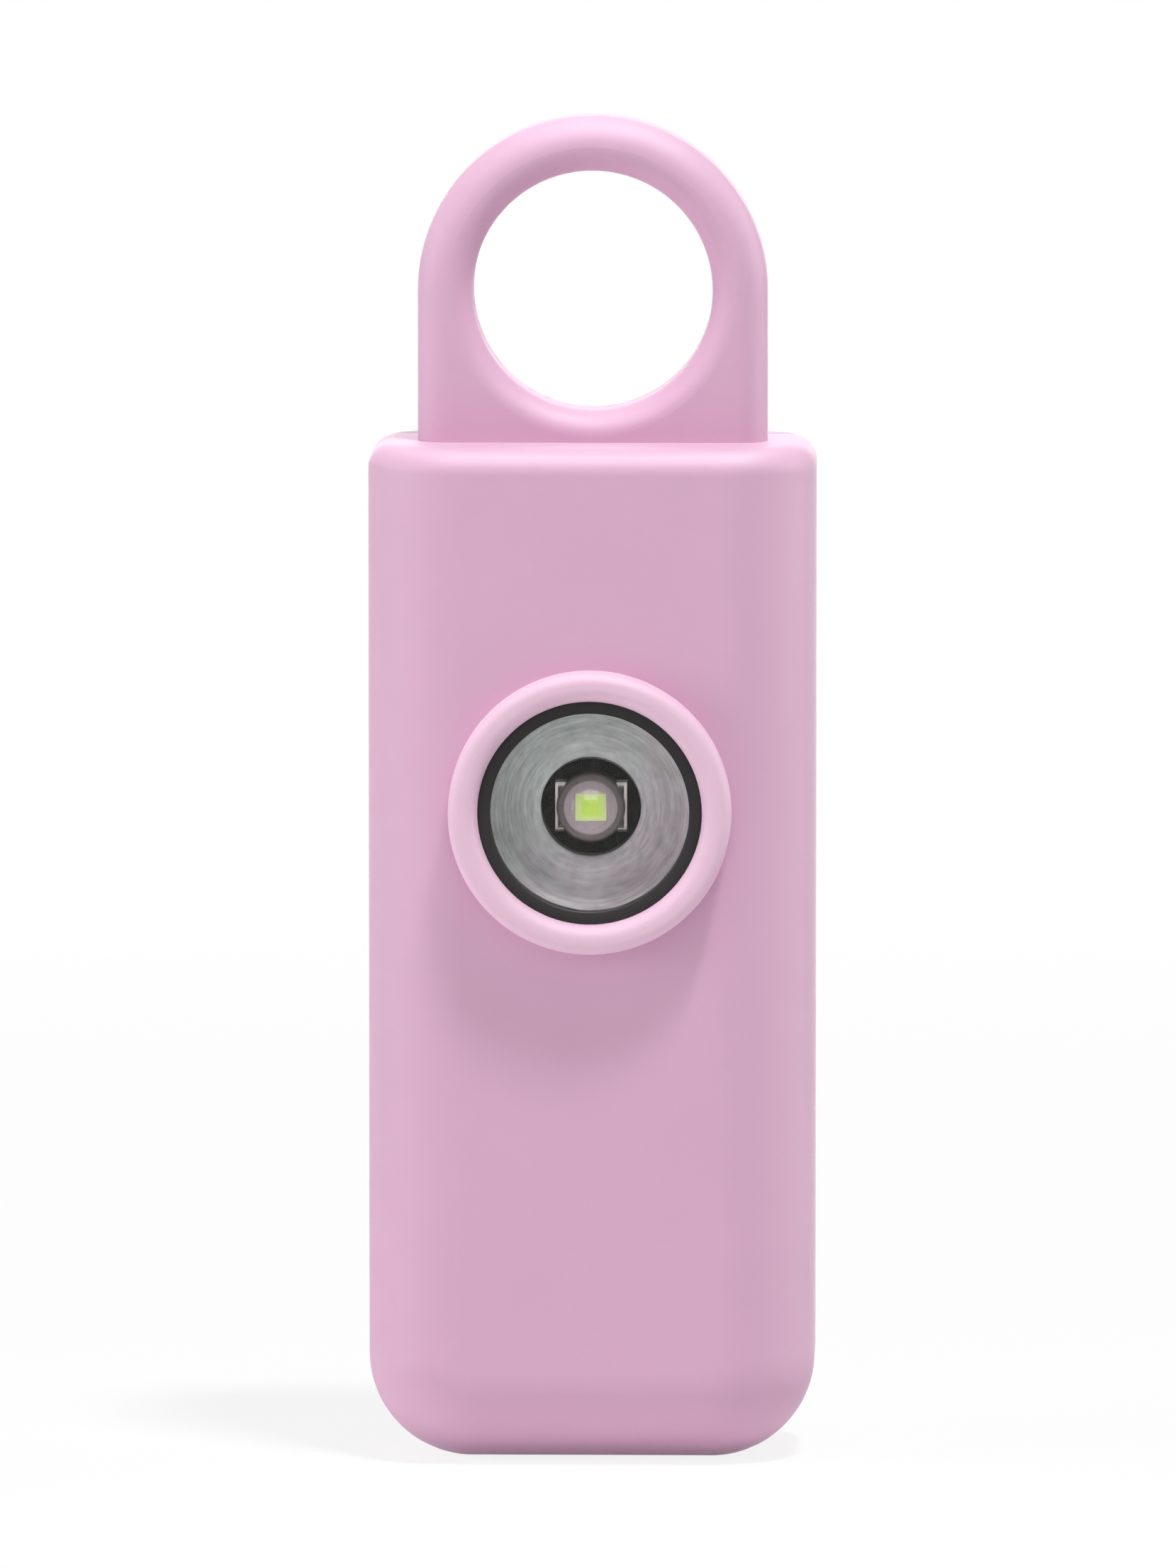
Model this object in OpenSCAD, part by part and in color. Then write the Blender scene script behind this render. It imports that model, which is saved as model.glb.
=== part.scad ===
// Personal safety alarm: a rounded hand-held case with a round light on the front,
// a siren behind a grille on the back, and a pull-out pin with a finger loop on top.
// Pulling the pin lets the plunger of a switch rise, which starts the siren and the light.
// Millimetres. The origin is the centre of the flat base, +Z is up and the light faces -Y.

/* [Case] */
// Width of the case
body_w = 33; // [32:0.5:38]
// Depth of the case from the front face to the back face
body_d = 20; // [19.6:0.2:23]
// Height of the case without the loop
body_h = 75.3; // [74:0.1:82]
// Thickness of the moulded walls
wall = 1.8; // [1.5:0.1:2.1]
// Rounding of the long edges and of the front and back edges of the base
edge_r = 6.8; // [6:0.1:7]
// Rounding of the two bottom corners seen from the front
corner_r = 7.7; // [7.1:0.1:8]
// Rounding of the top edge
rim_r = 1.8; // [1.6:0.1:2.8]
// Depth of the rear shell behind the parting line
rear_d = 5; // [4.8:0.1:5.4]
// How far the lip of the rear shell reaches into the front shell
lip_l = 1.3; // [0.8:0.1:1.6]
// Thickness of that lip
lip_t = 0.85; // [0.6:0.05:1]
// Clearance round the lip
lip_gap = 0.1; // [0.05:0.01:0.2]
// Width of the groove along the parting line
groove_w = 0.3; // [0.1:0.05:0.4]
// Depth of that groove
groove_d = 0.25; // [0.1:0.05:0.4]

/* [Pull pin] */
// Width of the loop
loop_w = 25.8; // [25:0.1:28]
// Thickness of the loop from front to back
loop_t = 7; // [6.2:0.1:8]
// Diameter of the finger hole
eye_d = 17.7; // [14:0.1:18]
// Height of the middle of the finger hole above the case
eye_rise = 11.1; // [10.8:0.1:14]
// Rounding of the outer edges of the loop
loop_edge_r = 2.2; // [1.5:0.1:2.6]
// Rounding of the edges of the finger hole
eye_edge_r = 1.8; // [1:0.1:2.2]
// Width of the tongue that goes into the case
tongue_w = 22; // [19:0.5:23]
// Thickness of the tongue
tongue_t = 4.4; // [4:0.1:5]
// Length of the tongue below the top of the case
tongue_l = 16; // [15:0.5:18]
// Depth of the hollows in the two faces of the tongue
tongue_core = 1.1; // [0.6:0.1:1.3]
// Bevel at the end of the tongue
tongue_bevel = 0.6; // [0.3:0.1:0.8]
// Clearance of the tongue in its guide
tongue_gap = 0.15; // [0.1:0.01:0.3]
// Wall of the guide in front of and behind the tongue
guide_wall = 1.2; // [0.8:0.1:1.3]
// Length of the guide below the top wall
guide_l = 12.7; // [12:0.1:13.5]

/* [Retaining springs] */
// Thickness of the spring strip
leaf_t = 0.25; // [0.15:0.05:0.35]
// Width of the spring strip
leaf_w = 3; // [2:0.1:3.4]
// Length of each bowed strip
leaf_l = 8.8; // [7:0.1:9.4]
// Height of the bow
leaf_bow = 0.8; // [0.5:0.05:1]
// Clearance between a strip and what lies beside it
leaf_gap = 0.08; // [0.05:0.01:0.1]

/* [Light] */
// Height of the middle of the light above the base
light_z = 48.7; // [46:0.1:50]
// Outer diameter of the raised ring
ring_d = 20.8; // [20.4:0.1:22]
// How far the ring stands proud of the front
ring_h = 2.5; // [2:0.1:3]
// Rounding of the outer edge of the ring
ring_outer_r = 0.8; // [0.4:0.1:1]
// Rounding of the inner edge of the ring
ring_inner_r = 1; // [0.5:0.1:1.2]
// Diameter of the opening in the ring
opening_d = 16.5; // [15.6:0.1:16.6]
// Thickness of the ring's front lip
ring_lip = 1.4; // [1.3:0.1:1.7]
// How far the lip covers the edge of the window
seat_lip = 0.6; // [0.4:0.05:0.7]
// Clearance round the window, its gasket and the reflector
seat_gap = 0.1; // [0.05:0.01:0.2]
// Wall of the ring's neck, which passes through the front of the case
neck_wall = 0.9; // [0.7:0.05:1]
// Clearance of the neck in the front of the case
neck_gap = 0.05; // [0.02:0.01:0.1]
// Length of the neck inside the case
neck_in = 1; // [0.8:0.1:1.4]
// Height of the snap bead that holds the neck behind the wall
snap_h = 0.2; // [0.1:0.05:0.3]
// Thickness of the black gasket
gasket_t = 0.5; // [0.3:0.1:0.8]
// Inner diameter of the gasket
gasket_d = 14.6; // [13.6:0.1:14.8]
// Thickness of the clear window
window_t = 0.8; // [0.6:0.1:1]
// Diameter of the hole round the lamp at the bottom of the reflector
reflector_hole_d = 7.4; // [7.2:0.1:8]
// Wall of the reflector
reflector_wall = 0.7; // [0.5:0.1:0.9]
// Straight neck of the reflector above the board
reflector_neck = 0.5; // [0.3:0.1:0.8]
// Diameter of the lamp's clear dome
dome_d = 5.1; // [4.4:0.1:5.2]
// Width of the lamp's base
lamp_w = 5.3; // [5.3:0.1:5.5]
// Height of the lamp's base
lamp_h = 2.9; // [2.6:0.1:3]
// Thickness of the lamp's base
lamp_t = 0.7; // [0.5:0.1:0.9]
// Border of solder pad that shows round the lamp's base
pad_border = 0.3; // [0.1:0.05:0.3]
// Width of each solder pad
pad_w = 1.15; // [0.8:0.05:1.4]
// Thickness of the solder on the pads
pad_t = 0.08; // [0.05:0.01:0.12]
// Width of the lamp's die
die_w = 1.6; // [1.2:0.05:1.7]
// Height of the lamp's die
die_h = 1.4; // [1.1:0.05:1.7]
// Thickness of the die
die_t = 0.15; // [0.1:0.01:0.25]

/* [Circuit board] */
// Width of the board
board_w = 24.8; // [24:0.2:25.6]
// Thickness of the board
board_t = 1.2; // [0.8:0.1:1.6]
// Height of the posts between the front wall and the board
board_gap = 2; // [1.9:0.1:2.4]
// Clearance between the lower edge of the board and the shell posts
board_clear = 1; // [0.5:0.1:1.5]
// How far the board reaches above the end of the tongue
board_over = 3.5; // [3:0.1:4.2]
// Distance of the board's screws from its edges
board_inset = 2.1; // [1.9:0.1:2.4]
// Width of the switch
switch_w = 6.4; // [5:0.1:7]
// Height of the switch
switch_h = 4.2; // [3.8:0.1:5]
// How far the pressed plunger stands above the switch
plunger_up = 2.5; // [1.6:0.1:3]
// How far the plunger reaches into the switch
plunger_in = 2.6; // [2:0.1:3]
// Width of the plunger
plunger_w = 2.4; // [1.6:0.1:3]
// Thickness of the plunger
plunger_t = 1.2; // [0.8:0.1:1.4]
// Clearance of the plunger in the switch
plunger_gap = 0.08; // [0.05:0.01:0.12]
// Diameter of the coil's ferrite drum
coil_d = 8; // [6:0.2:8.4]
// Height of the drum
coil_h = 5.5; // [4:0.1:6]
// Thickness of the drum's flanges
coil_flange = 0.8; // [0.5:0.1:1.2]
// Diameter of the capacitor can
can_d = 5.6; // [4:0.2:6]
// Height of the capacitor can
can_h = 5.2; // [4:0.1:6]
// Length of the control chip
chip_l = 4.9; // [4:0.1:5.2]
// Width of the control chip
chip_w = 3.9; // [3:0.1:4]
// Height of the control chip above the board
chip_h = 1.5; // [1.2:0.1:1.8]
// Width of the driver transistor
transistor_w = 4.5; // [3.6:0.1:4.8]
// Depth of the driver transistor along the board
transistor_l = 2.5; // [2:0.1:3]

/* [Siren] */
// Height of the middle of the siren above the base
siren_z = 50; // [48:0.5:52]
// Diameter of the brass sound plate
plate_d = 20; // [17:0.5:20.4]
// Thickness of the brass sound plate
plate_t = 0.4; // [0.3:0.05:0.6]
// Diameter of the ceramic disc on the plate
ceramic_d = 14; // [10:0.5:14.5]
// Thickness of the ceramic disc
ceramic_t = 0.25; // [0.15:0.05:0.4]
// Height of the rubber ring under the plate
seal_t = 0.9; // [0.6:0.1:1.2]
// Width of the rubber ring under the plate
seal_w = 1.2; // [0.8:0.1:1.6]
// Height of the ring that holds the plate down
retainer_t = 1.4; // [1:0.1:1.6]
// Width of that ring
retainer_w = 1.8; // [1.2:0.1:2]
// Clearance round the siren's rings
siren_gap = 0.15; // [0.1:0.01:0.25]
// Wall of the round rib that centres the siren
rib_wall = 1; // [0.8:0.1:1.4]
// Diameter of the sound holes
hole_d = 1.6; // [1:0.1:1.8]
// Distance between the rings of sound holes
hole_step = 3; // [2.6:0.1:3.2]

/* [Battery] */
// Diameter of a button cell
cell_d = 11.6; // [11:0.1:11.8]
// Height of a button cell
cell_h = 5.4; // [5:0.1:5.6]
// Height of the axis of the cells above the base
cell_z = 20; // [19.6:0.1:21]
// Clearance round the cells
well_gap = 0.3; // [0.2:0.05:0.5]
// Wall of the battery well
well_wall = 1.2; // [0.9:0.1:1.4]
// Width of the opening into the well
well_mouth = 17; // [16:0.5:17.6]
// Thickness of the contact plates
contact_t = 0.4; // [0.3:0.05:0.6]
// Width of the contact plates
contact_w = 8; // [6:0.5:9]
// Width of the solder tag on each contact plate
tag_w = 2; // [1.4:0.1:2.6]
// How far the tags stand above the well
tag_l = 1.7; // [1.6:0.1:1.8]
// Room that the pressed contact spring takes
spring_l = 2.3; // [2.2:0.1:3]
// Diameter of the contact spring's wire
spring_wire = 0.5; // [0.4:0.05:0.5]
// Turns of the contact spring
spring_turns = 2.5; // [2:0.5:2.5]
// Largest diameter of the contact spring
spring_d = 8; // [7.6:0.1:8.6]
// Diameter of the contact spring at the cell
spring_tip_d = 3.4; // [3:0.1:3.6]

/* [Battery door] */
// Width of the door
door_w = 18.6; // [18:0.1:18.8]
// Thickness of the door
door_t = 1.65; // [1.5:0.05:1.8]
// Rounding of the corners of the door
door_r = 2; // [1.5:0.1:2.6]
// Rounding of the outer edge of the door
door_edge_r = 0.3; // [0.2:0.05:0.5]
// How far the door lies below the back face
door_sink = 0.05; // [0.02:0.01:0.1]
// Clearance round the door
door_gap = 0.15; // [0.1:0.01:0.25]
// Distance from the screws to the ends of the door
door_end = 2.7; // [2.4:0.1:2.7]
// Thickness of the floor under the door
floor_t = 1.4; // [1.2:0.1:1.6]
// Border of the floor beyond the door
floor_border = 1.2; // [0.8:0.1:1.4]
// Width of the notch for a fingernail
notch_w = 5; // [3:0.5:7]
// Thickness of the foam pad inside the door
foam_t = 0.5; // [0.3:0.1:0.8]
// Width of the foam pad
foam_w = 14; // [8:0.5:15]
// Height of the foam pad
foam_h = 6; // [3:0.5:8]
// Clearance between the pad and the cells
foam_gap = 0.1; // [0.05:0.01:0.2]

/* [Screws] */
// Radius of the posts for the shell screws
post_r = 2.2; // [1.9:0.1:2.3]
// Clearance between the posts and the battery well
row_gap = 0.3; // [0.2:0.05:0.5]
// Distance of the shell screws from the middle
shell_screw_x = 5.4; // [5:0.1:5.6]
// Diameter of the screw shanks
shank_d = 1.56; // [1.4:0.02:1.7]
// Clearance round a shank in its pilot hole
pilot_gap = 0.02; // [0.02:0.01:0.05]
// Clearance round a shank where it passes through
pass_gap = 0.27; // [0.2:0.01:0.35]
// Diameter of the screw heads
head_d = 3.2; // [3:0.1:3.4]
// Height of the screw heads
head_h = 0.9; // [0.7:0.1:1]
// Clearance round the screw heads
head_gap = 0.2; // [0.1:0.05:0.3]
// Length of the shell screws under the head
shell_screw_l = 9; // [7:0.5:11]
// Length of the door screws under the head
door_screw_l = 6; // [4.5:0.5:7]
// Length of the board screws under the head
board_screw_l = 2.6; // [2.2:0.1:2.7]
// Width of the cross in the screw heads
cross_w = 0.5; // [0.3:0.05:0.6]
// Length of the arms of the cross from tip to tip
cross_l = 2.1; // [1.6:0.1:2.4]
// Depth of the cross
cross_depth = 0.55; // [0.3:0.05:0.6]

/* [Hidden] */
$fn = 64;

// Colours
case_pink = [0.86, 0.66, 0.77];
ring_pink = [0.88, 0.73, 0.81];
black = [0.07, 0.07, 0.08];
glass_clear = [0.85, 0.9, 0.92, 0.4];
spun_silver = [0.66, 0.66, 0.67];
steel = [0.72, 0.72, 0.73];
brass = [0.83, 0.68, 0.33];
board_black = [0.09, 0.1, 0.1];
copper = [0.72, 0.42, 0.22];
phosphor = [0.72, 0.82, 0.28];
ceramic_white = [0.88, 0.87, 0.83];
foam_grey = [0.35, 0.35, 0.37];
lead_red = [0.7, 0.12, 0.12];
lead_black = [0.1, 0.1, 0.1];

// How deep a boss or rib is rooted in the wall that carries it
root = 0.5;
// Longer than the object, for cuts that pass right through
reach = body_w + body_d + body_h;
// Smallest rounding left on an inner form
least_rim = 0.2;

// Case
front_y = -body_d / 2;
back_y = body_d / 2;
inner_front = front_y + wall;
inner_back = back_y - wall;
seam_y = back_y - rear_d;
corner_x = body_w / 2 - corner_r;
edge_y = body_d / 2 - edge_r;
lip_inset = wall - lip_t;

// Pull pin and its guide
eye_r = eye_d / 2;
loop_r = loop_w / 2;
eye_z = body_h + eye_rise;
least_flat = 0.05;
eye_round = min(eye_edge_r, loop_r - eye_r - loop_edge_r - least_flat);
tongue_end = body_h - tongue_l;
guide_top = body_h - wall;
guide_end = guide_top - guide_l;
slot_w = tongue_w + 2 * tongue_gap;
slot_t = tongue_t + 2 * tongue_gap;
core_border = 2.4;
leaf_r = (leaf_l * leaf_l / 4 + leaf_bow * leaf_bow) / (2 * leaf_bow);
leaf_x = tongue_w / 2 + leaf_gap;
pocket_x = leaf_x + leaf_bow + leaf_t + leaf_gap;
pocket_l = leaf_l + 4 * leaf_gap;
guide_side = pocket_x + guide_wall;
leaf_z = (guide_end + guide_top) / 2;

// Light
ring_r = ring_d / 2;
opening_r = opening_d / 2;
seat_r = opening_r + seat_lip;
neck_r = seat_r + neck_wall;
neck_end = inner_front + neck_in;
snap_gap = 0.05;
snap_end = 0.1;
ring_top = front_y - ring_h;
gasket_y = ring_top + ring_lip;
window_y = gasket_y + gasket_t;
reflector_y = window_y + window_t;
board_front = inner_front + board_gap;
board_back = board_front + board_t;
reflector_d = board_front - reflector_y;
reflector_r = gasket_d / 2;
reflector_steps = 10;
hole_r = reflector_hole_d / 2;
flange_t = 0.6;
lamp_y = board_front - pad_t - lamp_t;

// Battery
CELLS = 3;
cap_r = cell_d / 2 - 1;
cap_h = 0.4;
cap_round = 0.25;
can_round = 0.5;
floor_y = back_y - door_sink - door_t;
cell_y = floor_y - foam_t - foam_gap - cell_d / 2;
well_r = cell_d / 2 + well_gap;
row_rise = well_r + well_wall + post_r + row_gap;
rows = [cell_z - row_rise, cell_z + row_rise];
cells_x = -CELLS * cell_h / 2;
well_x = cells_x - spring_l - contact_t;
well_l = -cells_x + contact_t - well_x;
well_front = cell_y - well_r;
tag_top = cell_z + well_r + well_wall + tag_l;
tag_left = well_x + contact_t / 2;
tag_right = contact_t / 2 - cells_x;
tag_gap = 0.1;
contact_border = 1;
door_h = 2 * (row_rise + door_end);

// Screws
shank_r = shank_d / 2;
pilot_r = shank_r + pilot_gap;
pass_r = shank_r + pass_gap;
head_r = head_d / 2;
bore_r = head_r + head_gap;
shell_head_y = floor_y - head_h - head_gap;
door_head_y = back_y - door_sink - head_h - head_gap;
sleeve_t = 1.2;
pilot_end = 0.6;

// Circuit board and what it carries
board_low = rows[1] + post_r + board_clear;
board_high = tongue_end + board_over;
board_screw_x = board_w / 2 - board_inset;
board_rows = [board_low + board_inset, board_high - board_inset];
board_screw_at = [[-board_screw_x, board_rows[0]], [board_screw_x, board_rows[1]]];
board_post_r = 1.8;
board_corner_r = 1.2;
plunger_y = -tongue_t / 2 + tongue_bevel + plunger_t / 2;
switch_top = tongue_end - plunger_up;
switch_wall = 0.6;
leg_t = 0.2;
parts_x = board_w / 4;
parts_rise = 6;
parts_z = board_low + parts_rise;
chip_x = 7.2;
chip_z = light_z + 1.5;
chip_stand = 0.1;
leg_pitch = 1.27;
leg_w = 0.45;
leg_out = 1.1;
switch_leg_h = 1;
can_foot = 0.9;
can_groove = 0.3;
winding_gap = 0.3;
draft = 0.15;

// Siren, from the back wall inwards
seal_y = inner_back - seal_t;
plate_y = seal_y - plate_t;
ceramic_y = plate_y - ceramic_t;
retainer_y = plate_y - retainer_t;
rib_r = plate_d / 2 + siren_gap;
hole_rings = [0, 1, 2];
holes_per_ring = 6;

// Internal leads, from the siren or the contact tags to the back of the board
lead_d = 0.9;
lead_sides = 8;
lead_steps = 3;
// Straight ends of a lead at the siren, at a contact tag and at the board
siren_end = 1.5;
tag_end = 2;
board_end = 1.9;
// Ends on the ceramic disc and on the sound plate: across, and below the middle of the siren
siren_tap_x = [-3, 6];
siren_tap_drop = [4, 4.7];
// Ends of the siren's leads on the board: across, and below the middle of the siren
siren_pad_x = [-10.5, 10.5];
siren_pad_drop = [5.5, 5.2];
// Ends of the battery's leads on the board: across, and above the tags
battery_pad_x = [-10.6, 11.2];
battery_pad_rise = [12.4, 12];
// Shares of the way across, back and up at which a lead bends
lead_bends = [[0.3, 0.25, 0.35], [0.9, 0.6, 0.7]];
siren_routes = [
    lead_route([siren_tap_x[0], ceramic_y, siren_z - siren_tap_drop[0]], [0, -siren_end, 0],
        [siren_pad_x[0], board_back, siren_z - siren_pad_drop[0]]),
    lead_route([siren_tap_x[1], plate_y, siren_z - siren_tap_drop[1]], [0, -siren_end, 0],
        [siren_pad_x[1], board_back, siren_z - siren_pad_drop[1]])
];
battery_routes = [
    lead_route([tag_left, cell_y, tag_top], [0, 0, tag_end],
        [battery_pad_x[0], board_back, tag_top + battery_pad_rise[0]]),
    lead_route([tag_right, cell_y, tag_top], [0, 0, tag_end],
        [battery_pad_x[1], board_back, tag_top + battery_pad_rise[1]])
];
// Points of a lead that leaves its first end along a step and stands up from the board
function lead_route(first, step, last) = let(from = first + step, to = last + [0, board_end, 0]) concat(
    [first, from],
    [for (share = lead_bends) [for (i = [0:2]) from[i] + (to[i] - from[i]) * share[i]]],
    [to, last]
);

// The contact spring: a flat cone of wire between the negative plate and the first cell
spring_rings = 8;
spring_sides = 6;
spring_x = well_x + contact_t;
spring_path = concat(
    [[spring_x, cell_y + spring_d / 2, cell_z]],
    [for (k = [0:spring_rings * spring_turns]) spring_point(k / (spring_rings * spring_turns))],
    [[cells_x, spring_end_y(1), spring_end_z(1)]]
);
function spring_radius(t) = spring_d / 2 + (spring_tip_d - spring_d) / 2 * t;
function spring_end_y(t) = cell_y + spring_radius(t) * cos(360 * spring_turns * t);
function spring_end_z(t) = cell_z + spring_radius(t) * sin(360 * spring_turns * t);
function spring_point(t) = [
    spring_x + spring_wire + (spring_l - 2 * spring_wire) * t, spring_end_y(t), spring_end_z(t)
];
// Least gap between parts of the wire that lie half a turn or more apart
spring_gap = min([
    for (i = [0:len(spring_path) - 1])
        for (j = [i + spring_rings / 2:1:len(spring_path) - 1])
            norm(spring_path[i] - spring_path[j])
]) - spring_wire;
echo(spring_gap = spring_gap);

// Curves and tubes
function unit(v) = v / norm(v);
function curve_point(a, b, c, d, t) = (2 * b + (c - a) * t + (2 * a - 5 * b + 4 * c - d) * t * t
    + (3 * b - a - 3 * c + d) * t * t * t) / 2;
// A smooth run through the points, with a straight piece at each end
function curve(p, steps) = concat(
    [p[0]],
    [for (i = [1:len(p) - 3]) for (k = [0:steps - 1])
        curve_point(p[i - 1], p[i], p[i + 1], p[i + 2], k / steps)],
    [p[len(p) - 2], p[len(p) - 1]]
);
function directions(p) = [
    for (i = [0:len(p) - 1]) unit(p[min(i + 1, len(p) - 1)] - p[max(i - 1, 0)])
];
function across(n, t) = unit(n - (n * t) * t);
function normals(ts) = [
    for (i = 0, n = across([0.31, 0.57, 0.76], ts[0]); i < len(ts);
        n = i + 1 < len(ts) ? across(n, ts[i + 1]) : n, i = i + 1) n
];

// A tube of the given diameter along a list of points
module tube(p, d, sides) {
    ts = directions(p);
    ns = normals(ts);
    last = (len(p) - 1) * sides;
    points = [
        for (i = [0:len(p) - 1]) for (k = [0:sides - 1])
            p[i] + d / 2 * (cos(360 * k / sides) * ns[i] + sin(360 * k / sides) * cross(ts[i], ns[i]))
    ];
    walls = [
        for (i = [0:len(p) - 2]) for (k = [0:sides - 1])
            let (a = i * sides + k, b = i * sides + (k + 1) % sides)
                each [[a, a + sides, b], [b, a + sides, b + sides]]
    ];
    caps = [for (k = [1:sides - 2]) each [[0, k, k + 1], [last, last + k + 1, last + k]]];
    polyhedron(points, concat(walls, caps));
}

// Shapes that repeat
module quarter_disc(r) {
    intersection() {
        circle(r = r);
        square(2 * r);
    }
}

module half_disc(r) {
    intersection() {
        circle(r = r);
        translate([0, -2 * r]) square([2 * r, 4 * r]);
    }
}

// A slot with round ends, centred
module slot_shape(w, t) {
    run = w - t;
    translate([-run / 2, -t / 2]) square([run, t]);
    for (s = [0, 1]) mirror([s, 0]) translate([run / 2, 0]) half_disc(t / 2);
}

// A rectangle with round corners, centred
module round_rect(w, h, r) {
    x = w / 2 - r;
    y = h / 2 - r;
    translate([-x, -h / 2]) square([2 * x, h]);
    for (s = [0, 1]) mirror([s, 0]) {
        translate([x, -y]) square([r, 2 * y]);
        for (m = [0, 1]) mirror([0, m]) translate([x, y]) quarter_disc(r);
    }
}

// The outer half of an edge: a straight wall with its upper corner rounded
module rim_profile(r, f) {
    square([r - f, f]);
    translate([r - f, 0]) quarter_disc(f);
}

// The rounded top of a slab with round corners
module rim_cap(w, d, r, f) {
    x = w / 2 - r;
    y = d / 2 - r;
    for (s = [0, 1]) mirror([s, 0, 0]) {
        translate([x, y, 0]) rotate([90, 0, 0]) linear_extrude(2 * y) rim_profile(r, f);
        for (m = [0, 1]) mirror([0, m, 0])
            translate([x, y, 0]) rotate_extrude(angle = 90) rim_profile(r, f);
    }
    for (m = [0, 1]) mirror([0, m, 0])
        translate([-x, y, 0]) rotate([90, 0, 90]) linear_extrude(2 * x) rim_profile(r, f);
    translate([-x, -y, 0]) cube([2 * x, 2 * y, f]);
}

// Places a shape with its own +Z turned to the front or to the back
module to_front(x, y, z) {
    translate([x, y, z]) rotate([90, 0, 0]) children();
}

module to_back(x, y, z) {
    translate([x, y, z]) rotate([-90, 0, 0]) children();
}

module behind(y) {
    translate([-reach, y, -reach]) cube([2 * reach, reach, 3 * reach]);
}

module ahead_of(y) {
    translate([-reach, y - reach, -reach]) cube([2 * reach, reach, 3 * reach]);
}

// A screw along +Z with its head at the top and the underside of the head at 0
module screw(length) {
    difference() {
        union() {
            translate([0, 0, -length]) cylinder(r = shank_r, h = length);
            cylinder(r = head_r, h = head_h);
        }
        for (a = [0, 90]) rotate(a)
            translate([-cross_l / 2, -cross_w / 2, head_h - cross_depth]) cube([cross_l, cross_w, head_h]);
    }
}

// Half of the section of the case, from the axis of its bottom corner outwards
module edge_section(inset) {
    step = corner_r - edge_r;
    r = edge_r - inset;
    translate([0, -edge_y - r]) square([step, 2 * (edge_y + r)]);
    translate([step, -edge_y]) square([r, 2 * edge_y]);
    for (m = [0, 1]) mirror([0, m]) translate([step, edge_y]) quarter_disc(r);
}

// The case as a solid, drawn in by the inset on every side: its edge section runs down one
// side, round the bottom corner, along the base and up the other side
module case_form(inset) {
    depth = body_d - 2 * inset;
    rim = max(rim_r - inset, least_rim);
    run_top = body_h - inset - rim;
    for (s = [0, 1]) mirror([s, 0, 0]) translate([corner_x, 0, corner_r]) {
        linear_extrude(run_top - corner_r) edge_section(inset);
        rotate([90, 0, 0]) rotate([0, 0, -90]) rotate_extrude(angle = 90) edge_section(inset);
    }
    translate([-corner_x, 0, corner_r])
        rotate([0, 90, 0]) linear_extrude(2 * corner_x) edge_section(inset);
    translate([-corner_x, -depth / 2, corner_r])
        cube([2 * corner_x, depth, run_top - corner_r]);
    translate([0, 0, run_top]) rim_cap(body_w - 2 * inset, depth, edge_r - inset, rim);
}

// The band of the wall that the lip of the rear shell takes up, with a gap all round it
module lip_band(gap) {
    intersection() {
        difference() {
            case_form(lip_inset - gap);
            case_form(wall + gap);
        }
        behind(seam_y - lip_l - gap);
        ahead_of(seam_y + root);
    }
}

// The groove that shows where the two shells meet
module parting_groove() {
    difference() {
        translate([-reach, seam_y - groove_w / 2, -reach]) cube([2 * reach, groove_w, 3 * reach]);
        case_form(groove_d);
    }
}

// Section of the light's ring: a neck with a snap bead, and a rounded head that sits on the front
module ring_section() {
    height = neck_end - ring_top;
    neck = neck_end - front_y;
    inner = opening_r + ring_inner_r;
    outer = ring_r - ring_outer_r;
    base = height - ring_lip;
    translate([seat_r, 0]) square([neck_wall, neck]);
    translate([neck_r, 0])
        polygon([[0, snap_end], [snap_h, neck_in / 2], [snap_h, neck_in - snap_gap],
            [0, neck_in - snap_gap]]);
    translate([seat_r, neck]) square([ring_r - seat_r, base - neck]);
    translate([inner, base]) square([outer - inner, ring_lip]);
    translate([opening_r, base]) square([ring_inner_r, ring_lip - ring_inner_r]);
    translate([inner, height - ring_inner_r]) mirror([1, 0]) quarter_disc(ring_inner_r);
    translate([outer, base]) square([ring_outer_r, ring_lip - ring_outer_r]);
    translate([outer, height - ring_outer_r]) quarter_disc(ring_outer_r);
}

// The guide of the pull pin's tongue, with a pocket for a spring at each end
module guide() {
    difference() {
        translate([0, 0, guide_end])
            linear_extrude(guide_l + root) slot_shape(2 * guide_side, slot_t + 2 * guide_wall);
        for (s = [0, 1]) mirror([s, 0, 0])
            translate([tongue_w / 2 - slot_t / 2, -leaf_w / 2 - leaf_gap, leaf_z - pocket_l / 2])
                cube([pocket_x - tongue_w / 2 + slot_t / 2, leaf_w + 2 * leaf_gap, pocket_l]);
    }
}

module light_ring() {
    color(ring_pink) to_front(0, neck_end, light_z) rotate_extrude() ring_section();
}

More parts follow.
